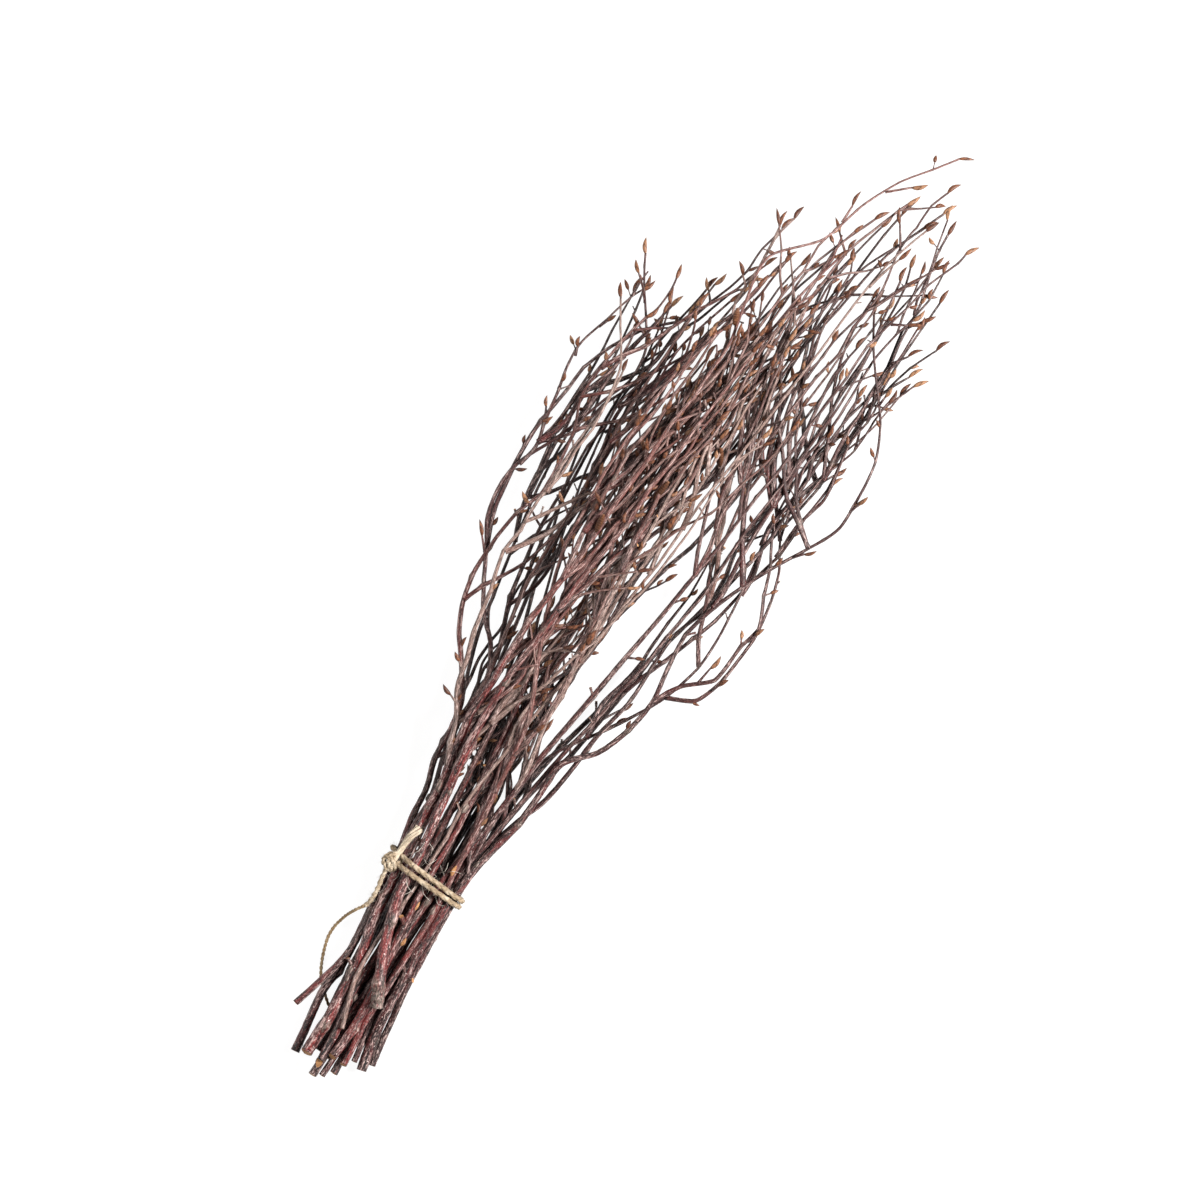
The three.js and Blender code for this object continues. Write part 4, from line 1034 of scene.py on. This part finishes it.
# the tie
tie = {
    "ply": 0.82,
    "pitch": 13,
    "middle": (14.3, 12.5),  # y and z inside both turns
    "x": (88.3, 91.9),
    "lean": (0.02, 0.05),
    "short": [(90, 30.6), (93.5, 30.7), (97, 30.9), (100.5, 30.9), (104, 30.3), (107.3, 29.4)],
    "long": [(86, 31), (82, 31.1), (78, 30.4), (74, 29.4), (69.7, 29), (65.4, 29.3)],
    "knot": (88.2, 31.2),
    "fibres": [
        ((105, 26), (103, 19), (96, 8)), ((96, 17), (98, 16), (100.5, 15)), ((97, 20), (95, 15), (93, 10)),
        ((87, 22), (83, 19), (82, 15)), ((87, 14), (84, 11), (83, 7)), ((94, 24), (98, 22), (99, 25)),
        ((86, 6), (84, 3), (85, 0)), ((94, 12), (98, 9), (102, 10)), ((93, 3), (97, 1), (99, 3)),
        ((95, 27), (99, 24), (104, 24)), ((88, 27), (84, 25), (81, 26)), ((96, 9), (100, 6), (101, 2)),
        ((94, 19), (99, 18), (104, 20)), ((87, 17), (83, 16), (79, 18)),
    ],
}


def treeOf(name):
    bm = bmesh.new()
    bm.from_mesh(nodes[name].data)
    tree = BVHTree.FromBMesh(bm)
    bm.free()
    return tree


def turnLine(name, x, lean):
    # the middle of the solid's section, all round the twigs
    tree = treeOf(name)
    spots = []
    for k in range(121):
        angle = math.radians(60 + 3 * k)
        y, z = tie["middle"]
        start = fromGrid(x + lean * (y - 15), y, z)
        way = Vector((lean * math.cos(angle), math.cos(angle), math.sin(angle))).normalized()
        inner = tree.ray_cast(start, way)[0]
        outer = tree.ray_cast(inner + way * 0.2 * mm, way)[0]
        spots.append((inner + outer) / 2)
    return spots


def topLine(name, points, radius):
    # spots on the middle line of a string that lies on the twigs, from the solid's upper side
    tree = treeOf(name)
    line = []
    for x, y in points:
        hit = tree.ray_cast(fromGrid(x, y, 200), Vector((0, 0, -1)))[0]
        if hit:
            line.append(hit - Vector((0, 0, radius * mm)))
    return line


random.seed(29)
turnLines = []
for number, x, lean in zip((1, 2), tie["x"], tie["lean"]):
    bm = newForm()
    name = "twine_turn_" + str(number)
    line = turnLine(name, x, lean)
    turnLines.append(line)
    ring, _ = smoothLine(line, [0] * len(line), 0.8 * mm)
    addTwine(bm, ring, tie["ply"], tie["pitch"], 0.1, 3)
    finishForm(bm, name + "_shown", [twineLook], "twine", [name])

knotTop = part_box("twine_knot")[1][2] / mm
knotAt = Vector((*tie["knot"], knotTop - 3.2))


def knotSpot(dx, dy, dz):
    return fromGrid(knotAt.x + dx, knotAt.y + dy, knotAt.z + dz)


# the strands of the knot, millimetres from its middle
knotWays = [
    [(3.8, -2.2, -1.2), (3.9, 0.2, 0.9), (2.0, 1.8, 2.0), (-0.8, 1.2, 2.2), (-2.8, -0.9, 1.4),
     (-3.4, -2.8, -0.6)],
    [(-3.6, -2.4, -0.6), (-3.8, 0.4, 0.8), (-2.2, 2.8, 0.9), (0.6, 3.4, 0.2), (2.6, 2.0, -0.4),
     (3.2, -0.8, -0.6)],
    [(-2.2, -3.2, 0.4), (-0.4, -1.6, 2.0), (0.8, 0.6, 2.6), (0.2, 2.9, 1.2), (-1.6, 3.7, -0.8),
     (-3.4, 2.2, -1.6)],
    [(2.8, -3.6, -0.6), (0.6, -2.6, 1.3), (-2.0, -1.0, 1.6), (-4.4, 0.2, 0.4), (-5.2, 0.0, -0.6)],
    [(-1.0, 0.6, 0.8), (1.4, 0.2, 1.6), (3.6, -0.4, 0.6), (4.6, -0.5, -0.2)],
]
bm = newForm()
for points in knotWays:
    spots = [knotSpot(*point) for point in points]
    ring, _ = smoothLine(spots, [0] * len(spots), 0.7 * mm)
    addTwine(bm, ring, 0.72, 5.0, 0.15)
finishForm(bm, "twine_knot_shown", [twineLook], "twine", ["twine_knot"])

bm = newForm()
shortLine = topLine("twine_short_end", tie["short"], 1.5)
ring, _ = smoothLine([knotSpot(0.6, -0.6, 1.4)] + shortLine, [0] * (len(shortLine) + 1), 0.9 * mm)
fraying = [1.7 + 2.6 * (k / (len(ring) - 1)) ** 1.5 for k in range(len(ring))]
addTwine(bm, ring, 0.62, 40, 0.5, 6, fraying)
addTwine(bm, ring[:-2], 0.75, 22, 0.7, 3, [1.2] * len(ring))
finishForm(bm, "twine_short_end_shown", [twineLook], "twine", ["twine_short_end"])

bm = newForm()
longLine = topLine("twine_long_end", tie["long"], 1.4)
longStart = [knotSpot(-1.5, 0.2, 0.2)] + longLine + [tailWay[0]]
ring, _ = smoothLine(longStart, [0] * len(longStart), 0.8 * mm)
addTwine(bm, ring, 0.74, 6.2, 0.2)
finishForm(bm, "twine_long_end_shown", [twineLook], "twine", ["twine_long_end"])


def addHair(bm, spots, thick, shade):
    ring, radii = smoothLine(spots, [thick * mm] * (len(spots) - 1) + [thick * 0.4 * mm], 1.5 * mm)
    addRod(bm, ring, radii, 3, lambda turn, k: (shade, 0, 0, 1))


bm = newForm()
for points in tie["fibres"]:
    spots = []
    for x, y in points:
        hit = barkTree.ray_cast(fromGrid(x, y, 200), Vector((0, 0, -1)))[0]
        low = fromGrid(x, y, 18)
        spots.append((hit if hit else low) + Vector((0, 0, random.uniform(0.6, 2.2) * mm)))
    addHair(bm, spots, 0.15, 0.8)
knotLine = [knotSpot(*point) for way in knotWays for point in way]
strings = turnLines + [longLine, shortLine, knotLine]
for string in strings:
    for _ in range(170 if len(string) > 100 else 60):
        spot = random.choice(string)
        out = Vector([random.gauss(0, 1) for _ in range(3)]).normalized()
        root = spot + out * 1.1 * mm
        far = root + out * random.uniform(0.4, 1.8) * mm
        far += Vector([random.gauss(0, 0.9) * mm for _ in range(3)])
        if far.z > 0.3 * mm:
            addHair(bm, [root, root.lerp(far, 0.5) + out * 0.3 * mm, far], 0.045, 0.4)
finishForm(bm, "loose_fibres", [hairLook], "twine", [])
print("twine")

# surface and light
light = {
    "floor": 0.15,
    "glow": 0.93,
    "world": 0.05,
    "tone": (1.0, 0.95, 0.925),
    "key": {"place": (0.62, -0.75, 1.1), "size": 0.55, "watts": 54},
    "fill": {"place": (-0.5, 0.8, 0.8), "size": 0.8, "watts": 8},
}
floorMesh = bpy.data.meshes.new("surface")
bm = bmesh.new()
bmesh.ops.create_grid(bm, x_segments=1, y_segments=1, size=30)
bm.to_mesh(floorMesh)
bm.free()
surface = bpy.data.objects.new("surface", floorMesh)
bpy.context.scene.collection.objects.link(surface)
floorLook, tree, shader = newMaterial("surface")
shader.inputs["Base Color"].default_value = (light["floor"], light["floor"], light["floor"], 1)
shader.inputs["Roughness"].default_value = 0.9
shader.inputs["Specular IOR Level"].default_value = 0.1
shader.inputs["Emission Color"].default_value = (1, 1, 1, 1)
shader.inputs["Emission Strength"].default_value = light["glow"]
floorMesh.materials.append(floorLook)

bpy.context.scene.view_settings.view_transform = "Standard"
world = bpy.data.worlds.new("studio")
bpy.context.scene.world = world
world.use_nodes = True
world.node_tree.nodes["Background"].inputs["Color"].default_value = (1, 1, 1, 1)
world.node_tree.nodes["Background"].inputs["Strength"].default_value = light["world"]
for name in ("key", "fill"):
    lamp = bpy.data.lights.new(name, "AREA")
    lamp.size = light[name]["size"]
    lamp.energy = light[name]["watts"]
    lamp.color = light["tone"]
    shown = bpy.data.objects.new(name, lamp)
    bpy.context.scene.collection.objects.link(shown)
    shown.location = light[name]["place"]
    shown.rotation_euler = (-Vector(light[name]["place"])).to_track_quat("-Z", "Y").to_euler()
print("surface and light")
